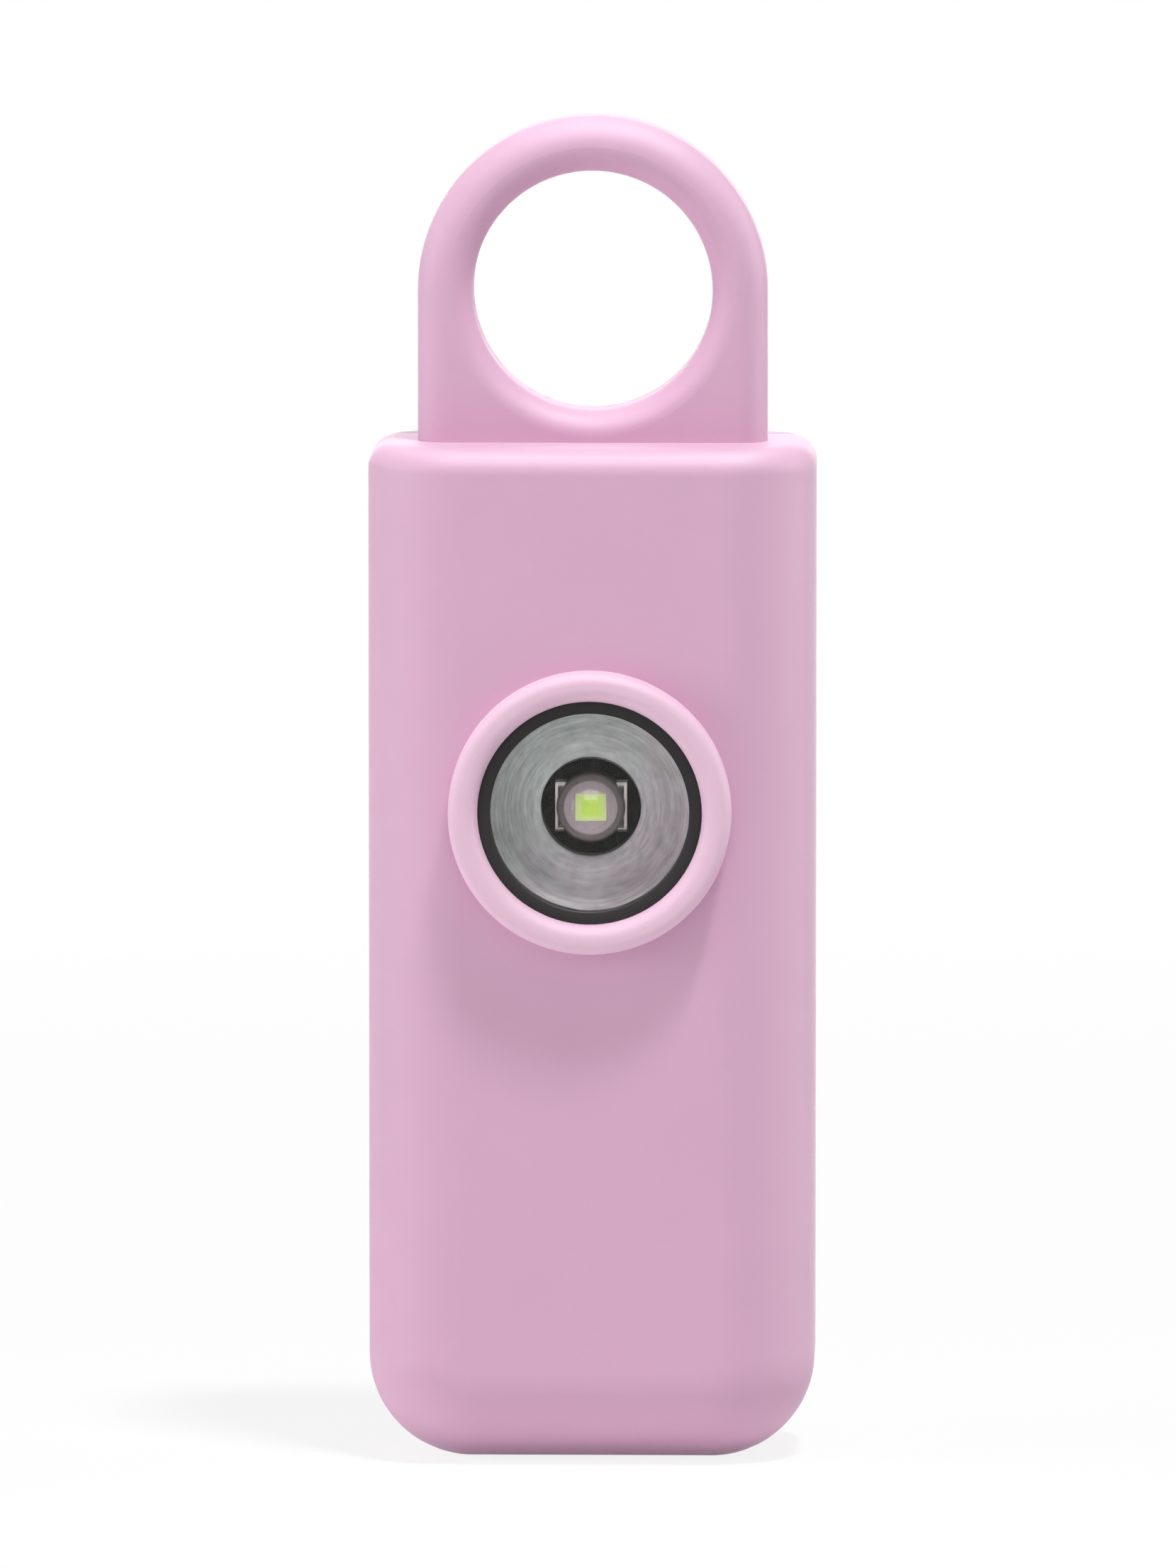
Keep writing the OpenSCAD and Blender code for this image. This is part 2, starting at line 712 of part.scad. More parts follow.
module front_shell() {
    color(case_pink) difference() {
        union() {
            difference() {
                case_form(0);
                case_form(wall);
                behind(seam_y);
                to_front(0, 0, light_z) cylinder(r = neck_r + neck_gap, h = reach);
            }
            guide();
            for (x = [-shell_screw_x, shell_screw_x], z = rows)
                to_back(x, inner_front - root, z) cylinder(r = post_r, h = seam_y - inner_front + root);
            for (x = [-board_screw_x, board_screw_x], z = board_rows)
                to_back(x, inner_front - root, z) cylinder(r = board_post_r, h = board_gap + root);
        }
        lip_band(lip_gap);
        translate([0, 0, guide_end - root]) linear_extrude(reach) slot_shape(slot_w, slot_t);
        for (x = [-shell_screw_x, shell_screw_x], z = rows)
            to_front(x, seam_y + root, z)
                cylinder(r = pilot_r, h = seam_y + root - shell_head_y + shell_screw_l + pilot_end);
        for (p = board_screw_at)
            to_front(p[0], board_back, p[1]) cylinder(r = pilot_r, h = board_screw_l + pilot_end);
        parting_groove();
    }
}

// The floor under the battery door, the well for the cells and the bosses for the screws
module battery_bay() {
    floor_in = floor_y - floor_t;
    border = 2 * (door_gap + floor_border);
    to_back(0, floor_in, cell_z)
        linear_extrude(inner_back + root - floor_in)
            round_rect(door_w + border, door_h + border, door_r + border / 2);
    translate([well_x - well_wall, well_front - well_wall, cell_z - well_r - well_wall])
        cube([well_l + 2 * well_wall, floor_y - well_front + well_wall, 2 * (well_r + well_wall)]);
    for (z = rows) {
        for (x = [-shell_screw_x, shell_screw_x])
            to_back(x, seam_y, z) cylinder(r = post_r, h = floor_y - seam_y);
        to_back(0, door_head_y - door_screw_l - pilot_end, z)
            cylinder(r = pilot_r + sleeve_t, h = floor_y - door_head_y + door_screw_l + pilot_end);
    }
}

// Everything that is cut out of the battery bay
module battery_cuts() {
    to_back(0, floor_y, cell_z)
        linear_extrude(reach) round_rect(door_w + 2 * door_gap, door_h + 2 * door_gap, door_r + door_gap);
    translate([well_x, well_front, cell_z - well_r])
        cube([well_l, floor_y - floor_t - well_front, 2 * well_r]);
    translate([-well_mouth / 2, well_front, cell_z - well_r]) cube([well_mouth, reach, 2 * well_r]);
    for (x = [tag_left, tag_right])
        translate([x - contact_t / 2 - tag_gap, cell_y - tag_w / 2 - tag_gap, cell_z])
            cube([contact_t + 2 * tag_gap, tag_w + 2 * tag_gap, well_r + well_wall + root]);
    for (z = rows) {
        for (x = [-shell_screw_x, shell_screw_x]) {
            to_back(x, seam_y - root, z) cylinder(r = pass_r, h = reach);
            to_back(x, shell_head_y, z) cylinder(r = bore_r, h = reach);
        }
        to_front(0, back_y, z)
            cylinder(r = pilot_r, h = back_y - door_head_y + door_screw_l + pilot_end / 2);
    }
}

module sound_holes() {
    for (n = hole_rings, k = [0:max(n * holes_per_ring - 1, 0)])
        let (a = 360 * k / max(n * holes_per_ring, 1))
            to_back(n * hole_step * cos(a), inner_back - root, siren_z + n * hole_step * sin(a))
                cylinder(d = hole_d, h = reach);
}

module rear_shell() {
    color(case_pink) difference() {
        union() {
            difference() {
                case_form(0);
                case_form(wall);
                ahead_of(seam_y);
            }
            intersection() {
                lip_band(0);
                ahead_of(seam_y + root);
            }
            to_front(0, inner_back + root, siren_z)
                cylinder(r = rib_r + rib_wall, h = inner_back + root - retainer_y);
            battery_bay();
        }
        to_front(0, inner_back, siren_z) cylinder(r = rib_r, h = inner_back - retainer_y + root);
        battery_cuts();
        sound_holes();
        parting_groove();
    }
}

module shell_screws() {
    color(steel) for (x = [-shell_screw_x, shell_screw_x], z = rows)
        to_back(x, shell_head_y, z) screw(shell_screw_l);
}

module tongue() {
    core_w = tongue_w - tongue_t - 2 * core_border;
    core_h = tongue_l - 2 * core_border;
    difference() {
        translate([0, 0, tongue_end]) linear_extrude(tongue_l) slot_shape(tongue_w, tongue_t);
        for (s = [0, 1]) mirror([0, s, 0]) {
            to_front(0, tongue_core - tongue_t / 2, tongue_end + core_border + core_h / 2)
                linear_extrude(reach) round_rect(core_w, core_h, core_border / 2);
            translate([-reach / 2, -tongue_t / 2, tongue_end])
                rotate([90, 0, 90]) linear_extrude(reach)
                    polygon([[-root, -root], [tongue_bevel + root, -root], [-root, tongue_bevel + root]]);
        }
    }
}

// Outer band of the loop's section, rounded at the outside
module loop_band() {
    inner = eye_r + eye_round;
    side = loop_r - loop_edge_r;
    flat = loop_t / 2 - loop_edge_r;
    translate([inner, -loop_t / 2]) square([side - inner, loop_t]);
    translate([side, -flat]) square([loop_edge_r, 2 * flat]);
    for (m = [0, 1]) mirror([0, m]) translate([side, flat]) quarter_disc(loop_edge_r);
}

// Inner band of the loop's section, rounded towards the finger hole
module eye_band() {
    flat = loop_t / 2 - eye_round;
    translate([eye_r, -flat]) square([eye_round, 2 * flat]);
    for (m = [0, 1]) mirror([0, m])
        translate([eye_r + eye_round, flat]) mirror([1, 0]) quarter_disc(eye_round);
}

module pull_pin() {
    color(case_pink) {
        translate([0, 0, eye_z]) rotate([90, 0, 0]) {
            rotate_extrude(angle = 180) loop_band();
            rotate_extrude() eye_band();
        }
        difference() {
            translate([0, 0, body_h]) linear_extrude(eye_rise) round_rect(loop_w, loop_t, loop_edge_r);
            to_front(0, loop_t, eye_z) cylinder(r = eye_r + eye_round, h = 2 * loop_t);
        }
        tongue();
    }
}

module retaining_springs() {
    color(steel) for (s = [0, 1]) mirror([s, 0, 0])
        translate([leaf_x + leaf_r, leaf_w / 2, leaf_z]) rotate([90, 0, 0]) linear_extrude(leaf_w)
            intersection() {
                difference() {
                    circle(r = leaf_r);
                    circle(r = leaf_r - leaf_t);
                }
                translate([-2 * leaf_r, -leaf_l / 2]) square([2 * leaf_r, leaf_l]);
            }
}

module window_gasket() {
    r = seat_r - seat_gap;
    color(black) to_back(0, gasket_y, light_z) rotate_extrude()
        translate([gasket_d / 2, 0]) square([r - gasket_d / 2, gasket_t]);
}

module window() {
    r = seat_r - seat_gap;
    bevel = window_t / 5;
    color(glass_clear) to_back(0, window_y, light_z) rotate_extrude()
        polygon([[0, 0], [r - bevel, 0], [r, bevel], [r, window_t - bevel], [r - bevel, window_t],
            [0, window_t]]);
}

// A dish that opens from the hole round the lamp to the window, with a flange at its front
module reflector() {
    rim = seat_r - seat_gap;
    bowl_d = reflector_d - reflector_neck;
    flange_at = sqrt(1 - flange_t / bowl_d);
    function bowl_r(t) = hole_r + (reflector_r - hole_r) * t;
    function bowl_y(t) = bowl_d * (1 - t * t);
    inner = [for (i = [reflector_steps:-1:0])
        let (t = i / reflector_steps) [bowl_r(t), bowl_y(t)]];
    outer = [for (i = [0:reflector_steps])
        let (t = flange_at * i / reflector_steps) [bowl_r(t) + reflector_wall, bowl_y(t)]];
    neck = [[hole_r, reflector_d], [hole_r + reflector_wall, reflector_d]];
    flange = [[rim, flange_t], [rim, 0]];
    color(spun_silver) to_back(0, reflector_y, light_z) rotate_extrude()
        polygon(concat(inner, neck, outer, flange));
}

module lamp_pads() {
    color(steel) for (s = [0, 1]) mirror([s, 0, 0])
        translate([lamp_w / 2 + pad_border - pad_w, board_front - pad_t, light_z - lamp_h / 2 - pad_border])
            cube([pad_w, pad_t, lamp_h + 2 * pad_border]);
}

module lamp_base() {
    color(black) to_front(0, board_front - pad_t, light_z) linear_extrude(lamp_t)
        union() {
            square([lamp_w, lamp_h], center = true);
            circle(d = dome_d);
        }
}

module lamp_die() {
    color(phosphor) translate([-die_w / 2, lamp_y - die_t, light_z - die_h / 2])
        cube([die_w, die_t, die_h]);
}

module lamp_dome() {
    color(glass_clear) difference() {
        to_front(0, lamp_y, light_z) rotate_extrude() quarter_disc(dome_d / 2);
        translate([-die_w / 2, lamp_y - die_t, light_z - die_h / 2]) cube([die_w, die_t + root, die_h]);
    }
}

module circuit_board() {
    height = board_high - board_low;
    color(board_black) difference() {
        to_back(0, board_front, board_low + height / 2)
            linear_extrude(board_t) round_rect(board_w, height, board_corner_r);
        for (p = board_screw_at)
            to_back(p[0], board_front - root, p[1]) cylinder(r = pass_r, h = board_t + 2 * root);
    }
}

module board_screws() {
    color(steel) for (p = board_screw_at) to_back(p[0], board_back, p[1]) screw(board_screw_l);
}

module switch_body() {
    depth = plunger_y + plunger_t / 2 + plunger_gap + switch_wall - board_back;
    slot_x = plunger_w + 2 * plunger_gap;
    slot_y = plunger_t + 2 * plunger_gap;
    slot_d = plunger_in + 2 * plunger_gap;
    color(black) difference() {
        translate([-switch_w / 2, board_back, switch_top - switch_h]) cube([switch_w, depth, switch_h]);
        translate([-slot_x / 2, plunger_y - slot_y / 2, switch_top - slot_d]) cube([slot_x, slot_y, reach]);
    }
}

module switch_plunger() {
    color(ceramic_white) translate([-plunger_w / 2, plunger_y - plunger_t / 2, switch_top - plunger_in])
        cube([plunger_w, plunger_t, plunger_in + plunger_up]);
}

module switch_legs() {
    color(steel) for (s = [0, 1], z = [leg_w, switch_h - 2 * leg_w]) mirror([s, 0, 0])
        translate([switch_w / 2, board_back, switch_top - switch_h + z]) linear_extrude(leg_w)
            polygon([[0, 0], [leg_out, 0], [leg_out, leg_t], [leg_t, leg_t], [leg_t, switch_leg_h],
                [0, switch_leg_h]]);
}

module coil_core() {
    r = coil_d / 2;
    color([0.2, 0.2, 0.21]) to_back(parts_x, board_back, parts_z) rotate_extrude()
        polygon([[0, 0], [r, 0], [r, coil_flange], [r / 2, coil_flange], [r / 2, coil_h - coil_flange],
            [r, coil_h - coil_flange], [r, coil_h], [0, coil_h]]);
}

module coil_winding() {
    r = coil_d / 2;
    color(copper) to_back(parts_x, board_back, parts_z) rotate_extrude()
        translate([r / 2, coil_flange]) square([r / 2 - winding_gap, coil_h - 2 * coil_flange]);
}

// An electrolytic can with its pressed groove
module capacitor() {
    r = can_d / 2;
    inner = r - can_groove;
    color(steel) to_back(-parts_x, board_back, parts_z) rotate_extrude()
        polygon([[0, 0], [r, 0], [r, can_foot], [inner, can_foot + can_groove],
            [inner, can_foot + 2 * can_groove], [r, can_foot + 3 * can_groove], [r, can_h - can_groove],
            [r - can_groove, can_h], [0, can_h]]);
}

module control_chip() {
    mid = chip_stand + (chip_h - chip_stand) / 2;
    color(black) translate([-chip_x, board_back, chip_z - chip_l / 2]) linear_extrude(chip_l)
        polygon([[-chip_w / 2 + draft, chip_stand], [chip_w / 2 - draft, chip_stand], [chip_w / 2, mid],
            [chip_w / 2 - draft, chip_h], [-chip_w / 2 + draft, chip_h], [-chip_w / 2, mid]]);
}

module chip_legs() {
    mid = chip_stand + (chip_h - chip_stand) / 2;
    color(steel) for (s = [0, 1], k = [-1.5:1:1.5])
        translate([-chip_x, board_back, chip_z + k * leg_pitch - leg_w / 2]) mirror([s, 0, 0])
            linear_extrude(leg_w) translate([chip_w / 2, 0])
                polygon([[0, mid], [leg_out / 2, mid], [leg_out / 2, leg_t], [leg_out, leg_t], [leg_out, 0],
                    [leg_out / 2 - leg_t, 0], [leg_out / 2 - leg_t, mid - leg_t], [0, mid - leg_t]]);
}

module driver_transistor() {
    color(black) translate([chip_x - transistor_w / 2, board_back, chip_z - transistor_l / 2])
        linear_extrude(transistor_l)
            polygon([[0, 0], [transistor_w, 0], [transistor_w - draft, chip_h], [draft, chip_h]]);
}

module siren_seal() {
    r = plate_d / 2;
    color(black) to_back(0, seal_y, siren_z) rotate_extrude()
        translate([r - seal_w, 0]) square([seal_w, seal_t]);
}

module sound_plate() {
    color(brass) to_back(0, plate_y, siren_z) cylinder(d = plate_d, h = plate_t);
}

module ceramic_disc() {
    color(ceramic_white) to_back(0, ceramic_y, siren_z) cylinder(d = ceramic_d, h = ceramic_t);
}

module siren_retainer() {
    r = plate_d / 2;
    color(black) to_back(0, retainer_y, siren_z) rotate_extrude()
        translate([r - retainer_w, 0]) square([retainer_w, retainer_t]);
}

// A button cell along +X with its cap, the negative end, at the left
module button_cell(index) {
    r = cell_d / 2;
    color(steel) translate([cells_x + index * cell_h, cell_y, cell_z]) rotate([0, 90, 0]) rotate_extrude()
        polygon([[0, 0], [cap_r - cap_round, 0], [cap_r, cap_round], [cap_r, cap_h], [r - can_round, cap_h],
            [r, cap_h + can_round], [r, cell_h - can_round], [r - can_round, cell_h], [0, cell_h]]);
}

module cell_left() {
    button_cell(0);
}

module cell_middle() {
    button_cell(1);
}

module cell_right() {
    button_cell(2);
}

module battery_spring() {
    color(steel) tube(spring_path, spring_wire, spring_sides);
}

// A contact plate across the end of the well, with its solder tag
module contact_plate(x) {
    half = cell_d / 2 - contact_border;
    translate([x - contact_t / 2, cell_y - contact_w / 2, cell_z - half])
        cube([contact_t, contact_w, 2 * half]);
    translate([x - contact_t / 2, cell_y - tag_w / 2, cell_z]) cube([contact_t, tag_w, tag_top - cell_z]);
}

module negative_contact() {
    color(steel) contact_plate(tag_left);
}

module positive_contact() {
    color(steel) contact_plate(tag_right);
}

module battery_door() {
    color(case_pink) difference() {
        to_back(0, floor_y, cell_z) {
            linear_extrude(door_t - door_edge_r) round_rect(door_w, door_h, door_r);
            translate([0, 0, door_t - door_edge_r]) rim_cap(door_w, door_h, door_r, door_edge_r);
        }
        for (z = rows) {
            to_back(0, floor_y - root, z) cylinder(r = pass_r, h = reach);
            to_back(0, door_head_y, z) cylinder(r = bore_r, h = reach);
        }
        translate([0, back_y + door_t / 3, cell_z - door_h / 2]) rotate([0, 90, 0])
            translate([0, 0, -notch_w / 2]) cylinder(r = door_t, h = notch_w);
    }
}

module door_pad() {
    color(foam_grey) to_front(0, floor_y, cell_z)
        linear_extrude(foam_t) round_rect(foam_w, foam_h, foam_h / 6);
}

module door_screws() {
    color(steel) for (z = rows) to_back(0, door_head_y, z) screw(door_screw_l);
}

module siren_leads() {
    for (i = [0, 1]) color([lead_red, lead_black][i])
        tube(curve(siren_routes[i], lead_steps), lead_d, lead_sides);
}

module battery_leads() {
    for (i = [0, 1]) color([lead_black, lead_red][i])
        tube(curve(battery_routes[i], lead_steps), lead_d, lead_sides);
}

front_shell();
rear_shell();
shell_screws();
pull_pin();
retaining_springs();
light_ring();
window_gasket();
window();
reflector();
lamp_base();
lamp_pads();
lamp_die();
lamp_dome();
circuit_board();
board_screws();
switch_body();
switch_plunger();
switch_legs();
coil_core();
coil_winding();
capacitor();
control_chip();
chip_legs();
driver_transistor();
sound_plate();
ceramic_disc();
siren_seal();
siren_retainer();
cell_left();
cell_middle();
cell_right();
battery_spring();
negative_contact();
positive_contact();
battery_door();
door_pad();
door_screws();
siren_leads();
battery_leads();
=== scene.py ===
import math

import bmesh
import bpy
from mathutils import Matrix, Vector


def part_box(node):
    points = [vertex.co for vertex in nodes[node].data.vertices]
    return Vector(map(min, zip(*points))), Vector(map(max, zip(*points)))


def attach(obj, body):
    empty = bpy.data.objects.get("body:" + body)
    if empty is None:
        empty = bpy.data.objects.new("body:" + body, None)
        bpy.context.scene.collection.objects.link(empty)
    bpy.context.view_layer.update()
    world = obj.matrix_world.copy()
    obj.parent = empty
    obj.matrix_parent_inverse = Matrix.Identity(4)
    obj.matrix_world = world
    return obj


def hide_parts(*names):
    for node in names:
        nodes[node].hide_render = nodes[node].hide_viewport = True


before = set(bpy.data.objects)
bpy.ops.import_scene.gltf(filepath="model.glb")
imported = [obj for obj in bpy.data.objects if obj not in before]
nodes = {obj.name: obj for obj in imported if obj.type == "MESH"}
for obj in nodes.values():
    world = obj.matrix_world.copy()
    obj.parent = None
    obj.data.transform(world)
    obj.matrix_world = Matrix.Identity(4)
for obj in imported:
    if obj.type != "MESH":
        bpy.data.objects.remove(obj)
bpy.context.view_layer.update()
scene = bpy.context.scene
scene.view_settings.view_transform = "Standard"

# Pieces are modelled in millimetres and brought to metres when they are finished.
# The frame has +Z up, and the light faces -Y.
MM = 0.001


def corners(name):
    """Lowest and highest corner of a CAD node, in millimetres."""
    low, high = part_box(name)
    return low / MM, high / MM


bowl_low, bowl_high = corners("reflector")
gasket_low, gasket_high = corners("window_gasket")
base_low, base_high = corners("lamp_base")
pads_low, pads_high = corners("lamp_pads")
die_low, die_high = corners("lamp_die")
dome_low, dome_high = corners("lamp_dome")
winding_low, winding_high = corners("coil_winding")
spring_low, spring_high = corners("battery_spring")
cell_low, cell_high = corners("cell_left")
board_low, board_high = corners("circuit_board")
foam_low, foam_high = corners("door_pad")
LIGHT = Vector((0, 0, (bowl_low.z + bowl_high.z) / 2))


# Camera: a long lens a little above and to the right of the front
VIEW_AZIMUTH = 1.37
VIEW_ELEVATION = 6.2
VIEW_DISTANCE = 1.2
VIEW_TARGET = Vector((-0.38, 0, 49.635)) * MM
SENSOR = 36.0
IMAGE_HEIGHT = 2212
PIXELS_PER_MM = 19.053


def from_angles(azimuth, elevation):
    """Direction from the object to a point at these angles, in degrees."""
    a, e = math.radians(azimuth), math.radians(elevation)
    return Vector((math.sin(a) * math.cos(e), -math.cos(a) * math.cos(e), math.sin(e)))


def aim(obj, place, target):
    obj.location = place
    obj.rotation_euler = (target - place).to_track_quat("-Z", "Y").to_euler()


camera_data = bpy.data.cameras.new("camera")
camera_data.sensor_width = SENSOR
camera_data.lens = PIXELS_PER_MM * SENSOR * VIEW_DISTANCE / MM / IMAGE_HEIGHT
camera = bpy.data.objects.new("camera", camera_data)
scene.collection.objects.link(camera)
aim(camera, VIEW_TARGET + VIEW_DISTANCE * from_angles(VIEW_AZIMUTH, VIEW_ELEVATION), VIEW_TARGET)
scene.camera = camera


# Shader building blocks
def srgb(red, green, blue):
    """A colour as seen on a screen, 0 to 255, in the renderer's linear values."""
    def linear(v):
        v /= 255
        return v / 12.92 if v <= 0.04045 else ((v + 0.055) / 1.055) ** 2.4
    return (linear(red), linear(green), linear(blue), 1.0)


class Tree:
    """A node tree with short calls to add nodes and join them."""

    def __init__(self, tree):
        self.tree = tree

    def add(self, kind, settings=None, **inputs):
        made = self.tree.nodes.new(kind)
        for name, value in (settings or {}).items():
            setattr(made, name, value)
        for name, value in inputs.items():
            self.set(made.inputs[name.replace("_", " ")], value)
        return made

    def set(self, socket, value):
        if isinstance(value, bpy.types.NodeSocket):
            self.tree.links.new(value, socket)
        else:
            socket.default_value = value

    def math(self, operation, a, b=0.0):
        made = self.tree.nodes.new("ShaderNodeMath")
        made.operation = operation
        self.set(made.inputs[0], a)
        self.set(made.inputs[1], b)
        return made.outputs[0]

    def range(self, value, low, high, to_low=0.0, to_high=1.0):
        made = self.add("ShaderNodeMapRange", {"clamp": True}, Value=value)
        for name, limit in zip(("From Min", "From Max", "To Min", "To Max"), (low, high, to_low, to_high)):
            self.set(made.inputs[name], limit)
        return made.outputs["Result"]

    def mix(self, factor, a, b):
        made = self.add("ShaderNodeMix", {"data_type": "RGBA"})
        self.set(made.inputs["Factor"], factor)
        self.set(made.inputs[6], a)
        self.set(made.inputs[7], b)
        return made.outputs[2]

    def scaled(self, vector, factor):
        made = self.add("ShaderNodeVectorMath", {"operation": "SCALE"}, Scale=factor)
        self.set(made.inputs[0], vector)
        return made.outputs[0]

    def stretched(self, vector, factors):
        made = self.add("ShaderNodeVectorMath", {"operation": "MULTIPLY"})
        self.set(made.inputs[0], vector)
        self.set(made.inputs[1], factors)
        return made.outputs[0]

    def noise(self, place, size, detail=2.0, offset=(0, 0, 0)):
        mapped = self.add("ShaderNodeMapping", Vector=place, Location=offset)
        made = self.add("ShaderNodeTexNoise", Vector=mapped.outputs[0], Detail=detail)
        self.set(made.inputs["Scale"], size)
        return made.outputs["Fac"]

    def toned(self, colour, value, amount):
        """The colour made lighter and darker by the amount as a 0 to 1 value changes."""
        swing = self.math("MULTIPLY", self.math("SUBTRACT", value, 0.5), self.math("MULTIPLY", amount, 2.0))
        return self.scaled(colour, self.math("ADD", 1.0, swing))


FLOAT, COLOUR, VECTOR = "NodeSocketFloat", "NodeSocketColor", "NodeSocketVector"
WHITE = (1, 1, 1, 1)
SKIN_OUTPUTS = [("Colour", COLOUR), ("Roughness", FLOAT), ("Height", FLOAT)]
# Slow changes over a surface, in waves per metre, and the part of a noise's range that is used
CLOUDS, PATCHES, TARNISH, BLOTCHES = 90.0, 260.0, 320.0, 400.0
NOISE_LOW, NOISE_HIGH = 0.3, 0.7


def group(name, inputs, outputs):
    """An empty node group with named sockets: (name, kind, value) for inputs, (name, kind) for outputs."""
    made = bpy.data.node_groups.new(name, "ShaderNodeTree")
    for label, kind, value in inputs:
        made.interface.new_socket(label, in_out="INPUT", socket_type=kind).default_value = value
    for label, kind in outputs:
        made.interface.new_socket(label, in_out="OUTPUT", socket_type=kind)
    tree = Tree(made)
    return made, tree, tree.add("NodeGroupInput").outputs, tree.add("NodeGroupOutput").inputs


def moulded_skin():
    """Fine spark-eroded grain of a moulding, with slow changes of tone and of gloss."""
    made, t, given, out = group(
        "moulded skin",
        [("Place", VECTOR, (0, 0, 0)), ("Colour", COLOUR, WHITE), ("Tone", FLOAT, 0.03),
         ("Gloss", FLOAT, 0.5), ("Gloss change", FLOAT, 0.05), ("Grain", FLOAT, 4000.0)], SKIN_OUTPUTS)
    grain = t.noise(given["Place"], given["Grain"], 3.0)
    fine = t.noise(given["Place"], t.math("MULTIPLY", given["Grain"], 2.7), 1.0, (3, 1, 2))
    t.set(out["Height"], t.math("ADD", grain, t.math("MULTIPLY", fine, 0.4)))
    cloud = t.range(t.noise(given["Place"], CLOUDS, 3.0, (0.3, 0.1, 0.2)), NOISE_LOW, NOISE_HIGH)
    t.set(out["Colour"], t.toned(given["Colour"], cloud, given["Tone"]))
    patch = t.noise(given["Place"], PATCHES, 2.0, (0.7, 0.4, 0.9))
    gloss = t.math("MULTIPLY", t.math("SUBTRACT", patch, 0.5), given["Gloss change"])
    t.set(out["Roughness"], t.math("ADD", given["Gloss"], gloss))
    return made


def turned_rings():
    """Fine rings left by spinning or turning, round the Y axis through the middle, and broken up."""
    made, t, given, out = group(
        "turned rings",
        [("Place", VECTOR, (0, 0, 0)), ("Colour", COLOUR, WHITE), ("Tone", FLOAT, 0.2),
         ("Gloss", FLOAT, 0.35), ("Gloss change", FLOAT, 0.15), ("Rings per metre", FLOAT, 4000.0)],
        SKIN_OUTPUTS)
    axes = t.add("ShaderNodeSeparateXYZ", Vector=given["Place"]).outputs
    radius = t.math("SQRT", t.math("ADD", t.math("POWER", axes["X"], 2.0), t.math("POWER", axes["Z"], 2.0)))
    around = [t.math("DIVIDE", axes[name], t.math("MAXIMUM", radius, 1e-6)) for name in ("X", "Z")]

    def rings(per_metre, turns, offset):
        polar = t.add("ShaderNodeCombineXYZ", X=t.math("MULTIPLY", radius, per_metre),
                      Y=t.math("MULTIPLY", around[0], turns), Z=t.math("MULTIPLY", around[1], turns))
        return t.noise(polar.outputs[0], 1.0, 2.0, offset)

    fine = rings(given["Rings per metre"], 1.5, (0, 0, 0))
    broken = rings(t.math("MULTIPLY", given["Rings per metre"], 0.35), 6.0, (5, 2, 1))
    both = t.math("ADD", t.math("MULTIPLY", fine, 0.6), t.math("MULTIPLY", broken, 0.4))
    spread = t.range(both, NOISE_LOW, NOISE_HIGH)
    t.set(out["Height"], fine)
    t.set(out["Colour"], t.toned(given["Colour"], spread, given["Tone"]))
    gloss = t.math("MULTIPLY", t.math("SUBTRACT", spread, 0.5), given["Gloss change"])
    t.set(out["Roughness"], t.math("ADD", given["Gloss"], gloss))
    return made


def drawn_lines():
    """Straight fine lines of rolled, drawn or brushed metal, with a cloudy tarnish."""
    made, t, given, out = group(
        "drawn lines",
        [("Place", VECTOR, (0, 0, 0)), ("Colour", COLOUR, WHITE), ("Tone", FLOAT, 0.12),
         ("Gloss", FLOAT, 0.3), ("Gloss change", FLOAT, 0.15),
         ("Lines per metre", VECTOR, (9000, 9000, 300))], SKIN_OUTPUTS)
    lines = t.noise(t.stretched(given["Place"], given["Lines per metre"]), 1.0, 3.0)
    cloud = t.noise(given["Place"], TARNISH, 3.0, (0.2, 0.6, 0.4))
    both = t.math("ADD", t.math("MULTIPLY", lines, 0.6), t.math("MULTIPLY", cloud, 0.4))
    spread = t.range(both, NOISE_LOW, NOISE_HIGH)
    t.set(out["Height"], lines)
    t.set(out["Colour"], t.toned(given["Colour"], spread, given["Tone"]))
    gloss = t.math("MULTIPLY", t.math("SUBTRACT", spread, 0.5), given["Gloss change"])
    t.set(out["Roughness"], t.math("ADD", given["Gloss"], gloss))
    return made


def grainy_body():
    """Grains or cells of sintered ceramic, powder or foam, some of them of a second colour."""
    made, t, given, out = group(
        "grainy body",
        [("Place", VECTOR, (0, 0, 0)), ("Colour", COLOUR, WHITE), ("Speck colour", COLOUR, WHITE),
         ("Specks", FLOAT, 0.3), ("Gloss", FLOAT, 0.6), ("Grains per metre", FLOAT, 6000.0)], SKIN_OUTPUTS)
    cells = t.add("ShaderNodeTexVoronoi", Vector=given["Place"], Scale=given["Grains per metre"])
    pick = t.add("ShaderNodeSeparateColor", Color=cells.outputs["Color"]).outputs["Red"]
    chosen = t.math("LESS_THAN", pick, given["Specks"])
    specked = t.mix(t.math("MULTIPLY", chosen, 0.7), given["Colour"], given["Speck colour"])
    cloud = t.range(t.noise(given["Place"], BLOTCHES, 3.0), NOISE_LOW, NOISE_HIGH)
    t.set(out["Colour"], t.toned(specked, cloud, 0.06))
    t.set(out["Height"], cells.outputs["Distance"])
    t.set(out["Roughness"], t.math("ADD", given["Gloss"], t.math("MULTIPLY", pick, 0.12)))
    return made


MOULDED, TURNED, DRAWN, GRAINY = moulded_skin(), turned_rings(), drawn_lines(), grainy_body()


